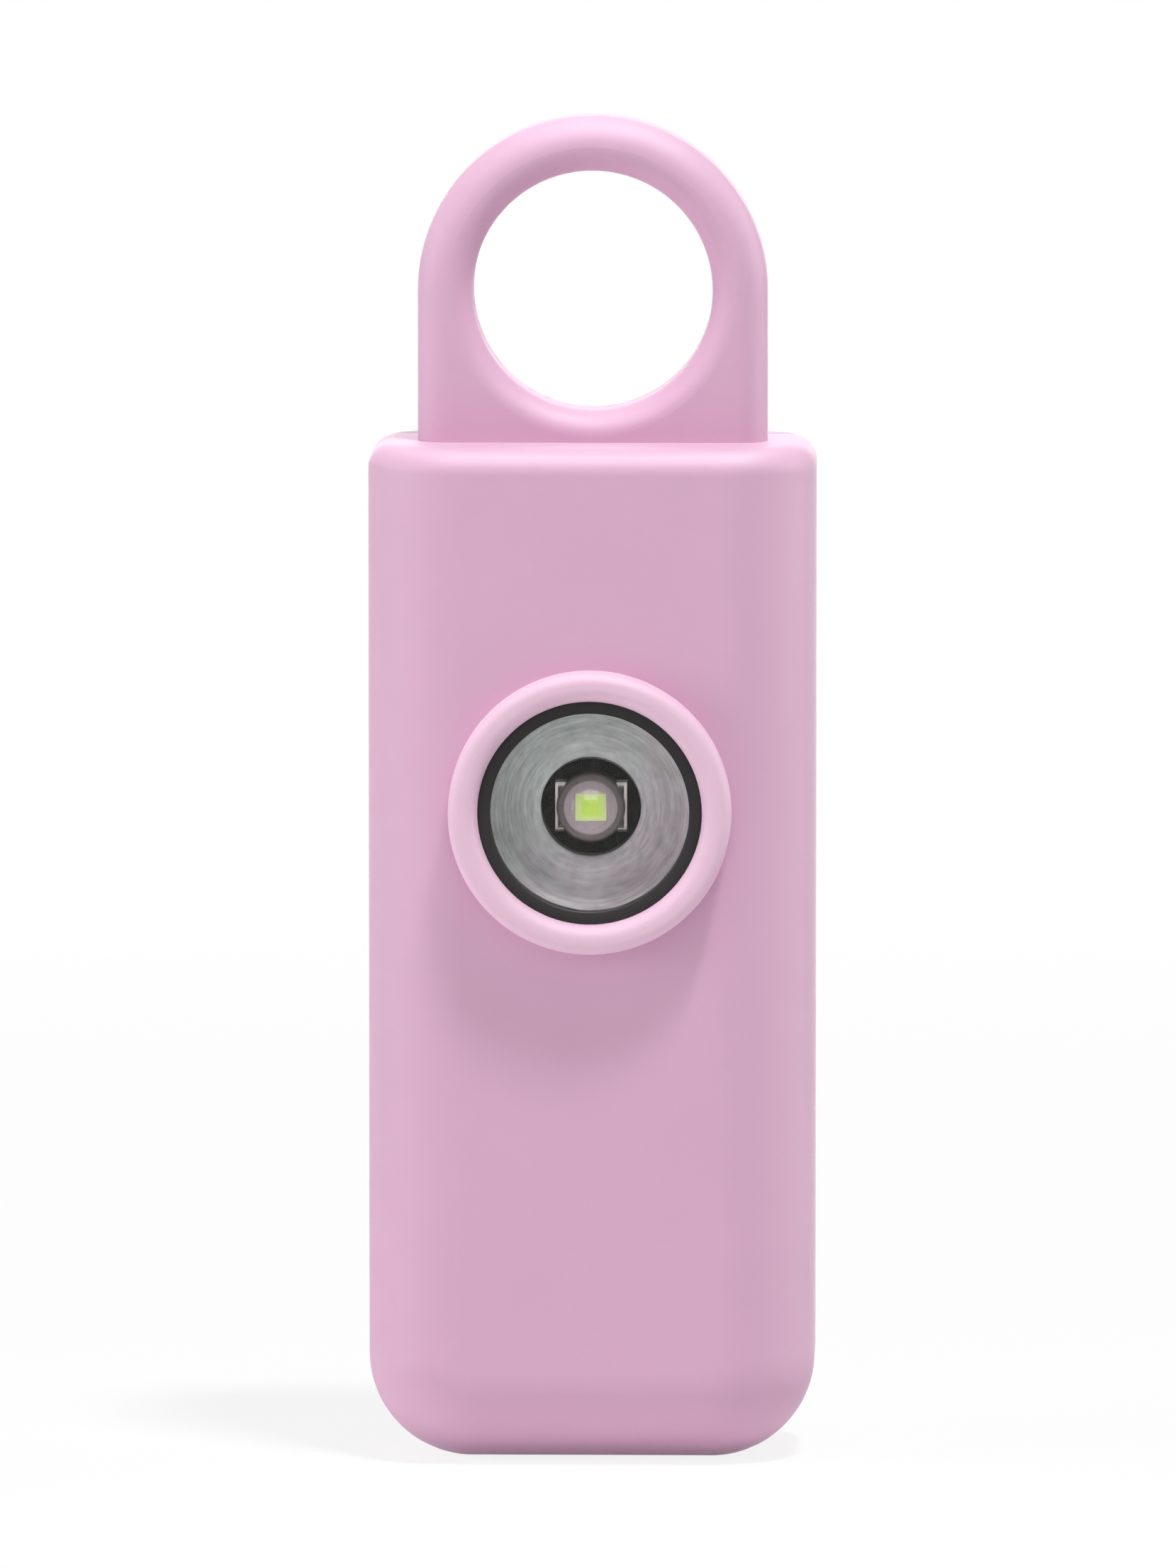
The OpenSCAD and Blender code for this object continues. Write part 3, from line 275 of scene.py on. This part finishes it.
def material(name):
    made = bpy.data.materials.new(name)
    made.use_nodes = True
    made.node_tree.nodes.clear()
    t = Tree(made.node_tree)
    surface = t.add("ShaderNodeBsdfPrincipled")
    t.add("ShaderNodeOutputMaterial", Surface=surface.outputs[0])
    place = t.add("ShaderNodeTexCoord").outputs["Object"]
    return made, t, surface, place


def finish(name, effect, depth, middle=None, colour=None, constants=None, **values):
    """A material whose colour, roughness and relief come from one of the effects above.

    depth is the relief in millimetres, middle the axis of turned rings in millimetres, and colour
    a function that makes the effect's colour from the tree and the place.
    """
    made, t, surface, place = material(name)
    if middle is not None:
        place = t.add("ShaderNodeMapping", Vector=place, Location=-middle * MM).outputs[0]
    if colour is not None:
        values["Colour"] = colour(t, place)
    skin = t.add("ShaderNodeGroup", {"node_tree": effect}, Place=place, **values).outputs
    bump = t.add("ShaderNodeBump", Height=skin["Height"], Distance=depth * MM)
    t.set(surface.inputs["Base Color"], skin["Colour"])
    t.set(surface.inputs["Roughness"], skin["Roughness"])
    t.set(surface.inputs["Normal"], bump.outputs[0])
    for label, value in (constants or {}).items():
        surface.inputs[label].default_value = value
    return made


METAL = {"Metallic": 1.0}
CLEAR = {"Transmission Weight": 1.0, "IOR": 1.49, "Alpha": 0.2, "Specular IOR Level": 0.15}
LENS = {"Transmission Weight": 1.0, "IOR": 1.49, "Specular IOR Level": 0.2}
SATIN = {"Specular IOR Level": 0.8, "Sheen Weight": 0.15, "Sheen Roughness": 0.4}
MATT = {"Specular IOR Level": 0.5, "Sheen Weight": 0.15, "Sheen Roughness": 0.4}
STEEL = srgb(180, 179, 178)
PINK = srgb(206, 160, 189)
# The ring's pink: the body's pink with white added as a painted sheen
PINK_WITH_PAINTED_SHEEN = srgb(225, 188, 210)


def die_colour(t, place):
    """Yellow phosphor that pales towards the edges of the die."""
    axes = t.add("ShaderNodeSeparateXYZ", Vector=place).outputs
    size = (die_high - die_low) * MM / 2
    across = t.math("DIVIDE", t.math("ABSOLUTE", axes["X"]), size.x)
    up = t.math("DIVIDE", t.math("ABSOLUTE", axes["Z"]), size.z)
    border = t.range(t.math("MAXIMUM", across, up), 0.45, 0.9)
    return t.mix(border, srgb(184, 224, 54), srgb(208, 218, 158))


# Reach of the dish's tints and of its painted shade from the middle, in metres, and the lean of the painted
# shade to the right
TINT_REACH, SHADE_REACH, SHADE_LEAN = 0.008, 0.0045, 0.2
# Painted shade: the dish's grey is scaled from the first factor at the bottom to the second at the top
DISH_PAINTED_DARK, DISH_PAINTED_LIGHT = 0.77, 1.19


def dish_colour(t, place):
    """Grey metal with painted shade, darker low down and lighter high up, a little greener at the upper left
    and pinker at the lower right.
    """
    axes = t.add("ShaderNodeSeparateXYZ", Vector=place).outputs
    slant = t.math("SUBTRACT", axes["X"], axes["Z"])
    cloud = t.math("MULTIPLY", t.math("SUBTRACT", t.noise(place, 420.0, 2.0), 0.5), 2 * TINT_REACH)
    share = t.range(t.math("ADD", slant, cloud), -TINT_REACH, TINT_REACH)
    grey = t.mix(share, srgb(178, 185, 182), srgb(176, 166, 172))
    # Painted shade, darker low down and lighter high up
    height = t.math("ADD", axes["Z"], t.math("MULTIPLY", axes["X"], SHADE_LEAN))
    return t.scaled(grey, t.range(height, -SHADE_REACH, SHADE_REACH, DISH_PAINTED_DARK, DISH_PAINTED_LIGHT))


def board_colour(t, place):
    """Black solder mask with the tracks under it showing a shade lighter."""
    cells = t.add("ShaderNodeTexVoronoi", {"feature": "DISTANCE_TO_EDGE"}, Vector=place, Scale=620.0)
    track = t.range(cells.outputs["Distance"], 0.06, 0.1, 1.0, 0.0)
    return t.mix(track, srgb(11, 12, 10), srgb(25, 27, 23))


CROSS_DEPTH = 0.55


def screw_colour_with_painted_shade(top):
    """Steel with painted shade that darkens it down into the cross of a screw's head, whose top is at this
    depth.
    """
    def colour(t, place):
        depth = t.add("ShaderNodeSeparateXYZ", Vector=place).outputs["Y"]
        return t.mix(t.range(depth, (top - CROSS_DEPTH) * MM, top * MM), srgb(48, 46, 45), STEEL)
    return colour


finishes = {
    "pink_plastic": finish("pink_plastic", MOULDED, 0.003, constants=SATIN, Colour=PINK, Tone=0.012,
                           Gloss=0.6),
    # The ring's lighter colour is a painted sheen over the body's pink
    "ring_plastic": finish("ring_plastic", MOULDED, 0.002, constants=MATT, Colour=PINK_WITH_PAINTED_SHEEN, Tone=0.012,
                           Gloss=0.62),
    "black_rubber": finish("black_rubber", MOULDED, 0.006, constants={"Specular IOR Level": 0.3},
                           Colour=srgb(30, 26, 28), Tone=0.12, Gloss=0.5),
    "black_plastic": finish("black_plastic", MOULDED, 0.004, Colour=srgb(34, 33, 34), Tone=0.08, Gloss=0.45),
    "white_plastic": finish("white_plastic", MOULDED, 0.004, Colour=srgb(226, 224, 218), Gloss=0.4),
    "clear_plastic": finish("clear_plastic", MOULDED, 0.0002, constants=CLEAR, Colour=srgb(254, 254, 254),
                            Tone=0.002, Gloss=0.03, Gloss_change=0.03, Grain=400.0),
    "spun_silver": finish("spun_silver", TURNED, 0.006, LIGHT, dish_colour, constants={"Metallic": 0.2},
                          Tone=0.36, Gloss=0.5, Rings_per_metre=9000.0),
    "board": finish("board", GRAINY, 0.004, colour=board_colour, constants={"Specular IOR Level": 0.12},
                    Speck_colour=srgb(20, 22, 19), Specks=0.2, Gloss=0.5, Grains_per_metre=9000.0),
    "steel": finish("steel", DRAWN, 0.004, constants=METAL, Colour=STEEL),
    "solder": finish("solder", DRAWN, 0.01, constants=METAL, Colour=srgb(176, 171, 169), Gloss=0.34,
                     Lines_per_metre=(2400, 2400, 2400)),
    "phosphor": finish("phosphor", GRAINY, 0.004, (die_low + die_high) / 2, die_colour,
                       Speck_colour=srgb(206, 230, 110), Grains_per_metre=24000.0),
    "ferrite": finish("ferrite", GRAINY, 0.02, Colour=srgb(66, 65, 68), Speck_colour=srgb(98, 97, 102)),
    "copper": finish("copper", DRAWN, 0.004, constants={"Metallic": 1.0, "Coat Weight": 0.5},
                     Colour=srgb(190, 112, 66), Lines_per_metre=(900, 9000, 900)),
    "can": finish("can", DRAWN, 0.003, constants=METAL, Colour=srgb(212, 212, 214), Gloss=0.25,
                  Lines_per_metre=(9000, 400, 9000)),
    # Brass colour darkened with painted shade, for the shade behind the sound holes
    "brass": finish("brass", DRAWN, 0.003, constants=METAL, Colour=srgb(172, 144, 84),
                    Tone=0.06, Lines_per_metre=(9000, 9000, 40)),
    "ceramic": finish("ceramic", GRAINY, 0.004, Colour=srgb(216, 213, 204), Speck_colour=srgb(196, 193, 186),
                      Gloss=0.42, Grains_per_metre=12000.0),
    "foam": finish("foam", GRAINY, 0.08, Colour=srgb(74, 74, 78), Speck_colour=srgb(52, 52, 56), Gloss=0.8,
                   Grains_per_metre=2600.0),
    "insulation": finish("insulation", MOULDED, 0.004, Colour=srgb(168, 34, 32), Tone=0.06, Gloss=0.35),
}
BLACK_LEAD = finish("black_insulation", MOULDED, 0.004, Colour=srgb(38, 37, 38), Tone=0.08, Gloss=0.35)
CLEAR_LENS = finish("clear_lens", MOULDED, 0.0002, constants=LENS, Colour=srgb(254, 254, 254), Tone=0.002,
                    Gloss=0.03, Gloss_change=0.03, Grain=400.0)
LAMP_CERAMIC = finish("lamp_ceramic", GRAINY, 0.004, Colour=srgb(102, 91, 88),
                      Speck_colour=srgb(86, 77, 74), Gloss=0.5, Grains_per_metre=16000.0)
LAMP_PLATE = finish("lamp_plate", GRAINY, 0.003, Colour=srgb(168, 153, 160), Speck_colour=srgb(150, 137, 143),
                    Gloss=0.45, Grains_per_metre=16000.0)
for node in nodes.values():
    node.material_slots[0].material = finishes[node.material_slots[0].material.name.split(".")[0]]
# Each screw's steel gets painted shade down in the cross of its head
for name in ("shell_screws", "board_screws", "door_screws"):
    looks = screw_colour_with_painted_shade(corners(name)[1].y)
    screw_steel = finish(f"{name}_steel", DRAWN, 0.004, colour=looks, constants=METAL)
    nodes[name].material_slots[0].material = screw_steel


# Modelling calls, in millimetres
def finished(name, mesh, looks, slot, *stands_for, body="case", sharp=35):
    """Brings a mesh to metres as a piece that rides on a body and stands for CAD nodes."""
    bmesh.ops.scale(mesh, vec=(MM, MM, MM), verts=mesh.verts)
    data = bpy.data.meshes.new(name)
    mesh.to_mesh(data)
    mesh.free()
    for look in looks:
        data.materials.append(look)
    data.shade_smooth()
    data.set_sharp_from_angle(angle=math.radians(sharp))
    return placed(name, data, stands_for, body)


def placed(name, data, stands_for, body):
    made = bpy.data.objects.new(name, data)
    scene.collection.objects.link(made)
    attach(made, body)
    if stands_for:
        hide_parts(*stands_for)
    return made


def spun(profile, middle, steps=128, edge=0.0):
    """A closed profile of (radius, y) points turned about the Y axis through the middle."""
    mesh = bmesh.new()
    points = [mesh.verts.new((middle.x + radius, y, middle.z)) for radius, y in profile]
    for first, second in zip(points, points[1:] + points[:1]):
        mesh.edges.new((first, second))
    bmesh.ops.spin(mesh, geom=mesh.verts[:] + mesh.edges[:], cent=(middle.x, 0, middle.z), axis=(0, 1, 0),
                   angle=math.tau, steps=steps, use_merge=True)
    bmesh.ops.remove_doubles(mesh, verts=mesh.verts, dist=0.0005)
    bmesh.ops.recalc_face_normals(mesh, faces=mesh.faces)
    if edge:
        bevel_sharp(mesh, edge)
    return mesh


def bevel_sharp(mesh, width, segments=3, angle=40):
    sharp = [e for e in mesh.edges if e.is_manifold and e.calc_face_angle() > math.radians(angle)]
    bmesh.ops.bevel(mesh, geom=sharp, offset=width, offset_type="OFFSET", segments=segments, profile=0.5,
                    affect="EDGES", material=-1)


def block(mesh, low, high):
    """A box between two corners, added to the mesh."""
    size = Matrix.Diagonal((*(high - low), 1.0))
    return bmesh.ops.create_cube(mesh, size=1.0, matrix=Matrix.Translation((low + high) / 2) @ size)["verts"]


def disc(mesh, radius, front, back, middle, segments=96):
    """A flat round plate about the Y axis, added to the mesh."""
    turn = Matrix.Translation((middle.x, (front + back) / 2, middle.z)) @ Matrix.Rotation(math.pi / 2, 4, "X")
    bmesh.ops.create_cone(mesh, cap_ends=True, segments=segments, radius1=radius, radius2=radius,
                          depth=back - front, matrix=turn)


def wire(name, runs, looks, diameter, slot, *stands_for):
    """Round wires or leads along runs of points, each with its own finish."""
    data = bpy.data.curves.new(name, "CURVE")
    data.dimensions = "3D"
    data.bevel_depth = diameter / 2 * MM
    data.bevel_resolution = 5
    data.resolution_u = 8
    data.use_fill_caps = True
    for index, (run, look) in enumerate(zip(runs, looks)):
        data.materials.append(look)
        spline = data.splines.new("NURBS")
        spline.points.add(len(run) - 1)
        for point, place in zip(spline.points, run):
            point.co = (*(Vector(place) * MM), 1.0)
        spline.order_u = 3
        spline.use_endpoint_u = True
        spline.material_index = index
    return placed(name, data, stands_for, "case")


# Light: gasket, dish and lamp
MOUTH_R, HOLE_R = 7.3, 3.7
NECK, DISH_WALL, FLANGE = 0.5, 0.7, 0.6
GASKET_EDGE = 0.14
DISH_STEPS = 28
flange_r = (bowl_high.x - bowl_low.x) / 2
dish_depth = bowl_high.y - NECK - bowl_low.y
flange_at = math.sqrt(1 - FLANGE / dish_depth)


def dish_point(t, out=0.0):
    """Point on the dish's curve, from the hole at 0 to the mouth at 1, moved out by the wall."""
    return HOLE_R + (MOUTH_R - HOLE_R) * t + out, bowl_low.y + dish_depth * (1 - t * t)


inside = [dish_point(1 - i / DISH_STEPS) for i in range(DISH_STEPS + 1)]
outside = [dish_point(flange_at * i / DISH_STEPS, DISH_WALL) for i in range(DISH_STEPS + 1)]
neck = [(HOLE_R, bowl_high.y), (HOLE_R + DISH_WALL, bowl_high.y)]
flange = [(flange_r, bowl_low.y + FLANGE), (flange_r, bowl_low.y)]
finished("reflector_dish", spun(inside + neck + outside + flange, LIGHT, steps=160),
         [finishes["spun_silver"]], "spun_silver", "reflector")

gasket_r = (gasket_high.x - gasket_low.x) / 2
gasket_profile = [(MOUTH_R, gasket_low.y), (gasket_r, gasket_low.y), (gasket_r, gasket_high.y),
                  (MOUTH_R, gasket_high.y)]
finished("gasket_ring", spun(gasket_profile, LIGHT, edge=GASKET_EDGE), [finishes["black_rubber"]],
         "black_rubber", "window_gasket")

# Solder pads on both sides of the middle, the housing set in from them, its rim, the plate and the dome
PAD_IN, PAD_OUT, PAD_BORDER, PAD_EDGE = 1.45, 2.65, 0.22, 0.03
RIM = 0.22
STEP = 0.03
PLATE_R = 1.42
SUNK = 0.05
dome_r = (dome_high.x - dome_low.x) / 2
pad_h = (pads_high.z - pads_low.z) / 2
pads_mesh = bmesh.new()
for side in (-1, 1):
    inner, outer = sorted((side * PAD_IN, side * PAD_OUT))
    block(pads_mesh, Vector((inner, pads_low.y, LIGHT.z - pad_h)),
          Vector((outer, pads_high.y, LIGHT.z + pad_h)))
bevel_sharp(pads_mesh, PAD_EDGE)
finished("solder_pads", pads_mesh, [finishes["solder"]], "solder", "lamp_pads")

base_mesh = bmesh.new()
half_w, half_h = PAD_OUT - PAD_BORDER, pad_h - PAD_BORDER
block(base_mesh, Vector((-half_w, base_low.y + STEP / 2, LIGHT.z - half_h)),
      Vector((half_w, base_high.y, LIGHT.z + half_h)))
front_face = min(base_mesh.faces, key=lambda face: face.calc_center_median().y)
bmesh.ops.inset_region(base_mesh, faces=[front_face], thickness=RIM)
front_face.material_index = 1
disc(base_mesh, dome_r - STEP, base_low.y, base_high.y, LIGHT)
base_mesh.normal_update()
for face in base_mesh.faces:
    if len(face.verts) > 4 and face.normal.y < 0:
        face.material_index = 1
finished("lamp_housing", base_mesh, [finishes["black_plastic"], LAMP_CERAMIC], "black_plastic", "lamp_base")

plate_mesh = bmesh.new()
disc(plate_mesh, PLATE_R, base_low.y - STEP, base_low.y + STEP, LIGHT)
finished("lamp_plate", plate_mesh, [LAMP_PLATE], "ceramic")

dome_mesh = bmesh.new()
dome_place = Matrix.Translation((0, dome_high.y, LIGHT.z)) @ Matrix.Rotation(math.pi / 2, 4, "X")
bmesh.ops.create_uvsphere(dome_mesh, u_segments=96, v_segments=64, radius=dome_r, matrix=dome_place)
cut = bmesh.ops.bisect_plane(dome_mesh, geom=dome_mesh.verts[:] + dome_mesh.edges[:] + dome_mesh.faces[:],
                             plane_co=(0, dome_high.y + SUNK, 0), plane_no=(0, 1, 0), clear_outer=True)
bmesh.ops.edgeloop_fill(dome_mesh, edges=[e for e in cut["geom_cut"] if isinstance(e, bmesh.types.BMEdge)])
bmesh.ops.recalc_face_normals(dome_mesh, faces=dome_mesh.faces)
finished("dome_lens", dome_mesh, [CLEAR_LENS], "clear_plastic", "lamp_dome")

# Coil: one layer of turns between the flanges of its core
WIRE = 0.3
CORE_R = 2.0
VALLEY = 0.14
TURN_DIPS = (0.0, 0.04, VALLEY, 0.04)
coil_middle = (winding_low + winding_high) / 2
winding_r = (winding_high.x - winding_low.x) / 2
turns = round((winding_high.y - winding_low.y) / WIRE)
pitch = (winding_high.y - winding_low.y) / turns
bulges = [(winding_r - TURN_DIPS[k % 4], winding_low.y + (k + 2) % (4 * turns) * pitch / 4)
          for k in range(4 * turns)]
bulges.sort(key=lambda point: point[1])
bore = [(CORE_R, winding_high.y), (CORE_R, winding_low.y)]
winding_profile = bore + bulges[1:] + [(winding_r - VALLEY, winding_high.y)]
finished("coil_turns", spun(winding_profile, coil_middle, steps=64), [finishes["copper"]], "copper",
         "coil_winding", sharp=60)

# Battery: contact spring, foam pad and leads
SPRING_WIRE, SPRING_TURNS = 0.5, 2.5
SPRING_WIDE, SPRING_TIP = 4.0, 1.7
RING_POINTS = 16
cell_axis = (cell_low + cell_high) / 2
coil_points = round(RING_POINTS * SPRING_TURNS)
spring_start, spring_stop = spring_low.x + SPRING_WIRE / 2, spring_high.x - SPRING_WIRE / 2
spring_run = []
for k in range(coil_points + 1):
    t = k / coil_points
    radius = SPRING_WIDE + (SPRING_TIP - SPRING_WIDE) * t
    angle = math.tau * SPRING_TURNS * t
    spring_run.append((spring_start + (spring_stop - spring_start) * t,
                       cell_axis.y + radius * math.cos(angle), cell_axis.z + radius * math.sin(angle)))
wire("contact_spring", [spring_run], [finishes["steel"]], SPRING_WIRE, "steel", "battery_spring")

# Leads: diameter, the straight steps at their ends, and the shares of the way at which they bend
LEAD = 0.9
BOARD_STEP, SIREN_STEP, TAG_STEP = Vector((0, 1.9, 0)), Vector((0, -1.5, 0)), Vector((0, 0, 2))
LEAD_BENDS = ((0.3, 0.25, 0.35), (0.9, 0.6, 0.7))
DISC_TAP, PLATE_TAP = (-3, 6.65, 46), (6, 6.9, 45.3)


def lead_run(first, step, last):
    """Points of a lead that leaves its first end along a step and stands up from the board."""
    start, stop = Vector(first) + step, Vector(last) + BOARD_STEP
    bends = [[a + (b - a) * share for a, b, share in zip(start, stop, shares)] for shares in LEAD_BENDS]
    return [first, start, *bends, stop, last]


def on_board(x, z):
    return x, board_high.y, z


def tag_top(name):
    """Middle of the upper end of a contact's solder tag."""
    low, high = corners(name)
    return (low.x + high.x) / 2, (low.y + high.y) / 2, high.z


siren_runs = [lead_run(DISC_TAP, SIREN_STEP, on_board(-10.5, 44.5)),
              lead_run(PLATE_TAP, SIREN_STEP, on_board(10.5, 44.8))]
battery_runs = [lead_run(tag_top("negative_contact"), TAG_STEP, on_board(-10.6, 41.4)),
                lead_run(tag_top("positive_contact"), TAG_STEP, on_board(11.2, 41))]
wire("siren_wires", siren_runs, [finishes["insulation"], BLACK_LEAD], LEAD, "insulation", "siren_leads")
wire("battery_wires", battery_runs, [BLACK_LEAD, finishes["insulation"]], LEAD, "insulation",
     "battery_leads")

CROWN, CROWN_FROM = 0.22, 0.5
FOAM_CORNER = 1.0
FOAM_RINGS = (0.35, 0.5, 0.8)
foam_middle, foam_half = (foam_low + foam_high) / 2, (foam_high - foam_low) / 2
pad_mesh = bmesh.new()
block(pad_mesh, foam_low, foam_high)
upright = [e for e in pad_mesh.edges if abs((e.verts[0].co - e.verts[1].co).normalized().y) > 0.9]
bmesh.ops.bevel(pad_mesh, geom=upright, offset=FOAM_CORNER, offset_type="OFFSET", segments=5, profile=0.5,
                affect="EDGES", material=-1)
pad_front = min(pad_mesh.faces, key=lambda face: face.calc_center_median().y)
for width in FOAM_RINGS:
    bmesh.ops.inset_region(pad_mesh, faces=[pad_front], thickness=width)
for point in pad_mesh.verts:
    if point.co.y < foam_middle.y:
        out = max(abs(point.co.x - foam_middle.x) / foam_half.x,
                  abs(point.co.z - foam_middle.z) / foam_half.z)
        point.co.y += CROWN * max(0.0, out - CROWN_FROM) / (1 - CROWN_FROM)
pad = finished("foam_pad", pad_mesh, [finishes["foam"]], "foam", "door_pad", body="battery_door", sharp=60)


# Floor, backdrop and light
NEAR, FAR = 0.12, 0.35
SHADOW_SHARE = 0.15
FLOOR_SIZE = 3.0
FLOOR_WHITE = (0.9, 0.9, 0.9, 1)


def plain_stage(name, colour):
    """White for the camera, glass and metal; near the object a share of real shading keeps its shadow."""
    made = bpy.data.materials.new(name)
    made.use_nodes = True
    made.node_tree.nodes.clear()
    t = Tree(made.node_tree)
    shaded = t.add("ShaderNodeBsdfDiffuse", Color=colour)
    white = t.add("ShaderNodeEmission", Color=WHITE, Strength=1.0)
    place = t.add("ShaderNodeTexCoord").outputs["Object"]
    away = t.add("ShaderNodeVectorMath", {"operation": "LENGTH"})
    t.set(away.inputs[0], place)
    plain = t.range(away.outputs["Value"], NEAR, FAR, 1.0 - SHADOW_SHARE, 1.0)
    mixed = t.add("ShaderNodeMixShader")
    t.set(mixed.inputs[0], t.math("MULTIPLY", seen_directly(t), plain))
    t.set(mixed.inputs[1], shaded.outputs[0])
    t.set(mixed.inputs[2], white.outputs[0])
    t.add("ShaderNodeOutputMaterial", Surface=mixed.outputs[0])
    return made


def seen_directly(t):
    path = t.add("ShaderNodeLightPath").outputs
    return t.math("MAXIMUM", path["Is Camera Ray"],
                  t.math("MAXIMUM", path["Is Glossy Ray"], path["Is Transmission Ray"]))


floor_mesh = bmesh.new()
bmesh.ops.create_grid(floor_mesh, x_segments=1, y_segments=1, size=FLOOR_SIZE)
floor_data = bpy.data.meshes.new("floor")
floor_mesh.to_mesh(floor_data)
floor_mesh.free()
floor_data.materials.append(plain_stage("floor", FLOOR_WHITE))
floor = bpy.data.objects.new("floor", floor_data)
scene.collection.objects.link(floor)

FILL = 0.12
world = bpy.data.worlds.new("studio")
scene.world = world
world.use_nodes = True
world.node_tree.nodes.clear()
w = Tree(world.node_tree)
sky = w.add("ShaderNodeBackground", Color=WHITE, Strength=w.range(seen_directly(w), 0.0, 1.0, FILL, 1.0))
w.add("ShaderNodeOutputWorld", Surface=sky.outputs[0])

# Softboxes: azimuth and elevation in degrees, distance, width and height in metres, power in watts
SOFTBOXES = {
    "overhead_key": (40, 71, 0.9, 0.12, 0.09, 6.2),
    "front_low": (0, 1, 0.9, 0.9, 0.12, 0.2),
    "table_strip": (0, 25, 0.36, 0.5, 0.2, 0.3),
    "left_low": (-75, 8, 0.9, 0.5, 0.5, 4.4),
    "left_rear": (-115, 20, 0.9, 0.5, 0.5, 0.8),
    "right_low": (80, 8, 0.9, 0.5, 0.5, 0.2),
    "right_rear": (115, 20, 0.9, 0.5, 0.5, 0.9),
    "rear_low": (180, 5, 0.9, 0.5, 0.2, 2.2),
    "overhead_sheen": (0, 85, 1.0, 1.2, 1.2, 16.5),
    "front_sheen": (0, 50, 1.0, 0.8, 0.8, 6.0),
    "rear_sheen": (180, 50, 1.0, 1.0, 1.0, 6.0),
    "right_sheen": (90, 12, 1.0, 0.8, 0.8, 7.0),
}
HIGHLIGHT_ONLY = ("overhead_sheen", "front_sheen", "rear_sheen", "right_sheen")
LIT = Vector((0, 0, 0.06))
TABLE = Vector((0, -0.3, 0))
for name, (azimuth, elevation, distance, width, height, power) in SOFTBOXES.items():
    data = bpy.data.lights.new(name, "AREA")
    data.shape = "RECTANGLE"
    data.size = width
    data.size_y = height
    data.energy = power
    lamp = bpy.data.objects.new(name, data)
    scene.collection.objects.link(lamp)
    lamp.visible_diffuse = name not in HIGHLIGHT_ONLY
    target = TABLE if name == "table_strip" else LIT
    aim(lamp, LIT + distance * from_angles(azimuth, elevation), target)
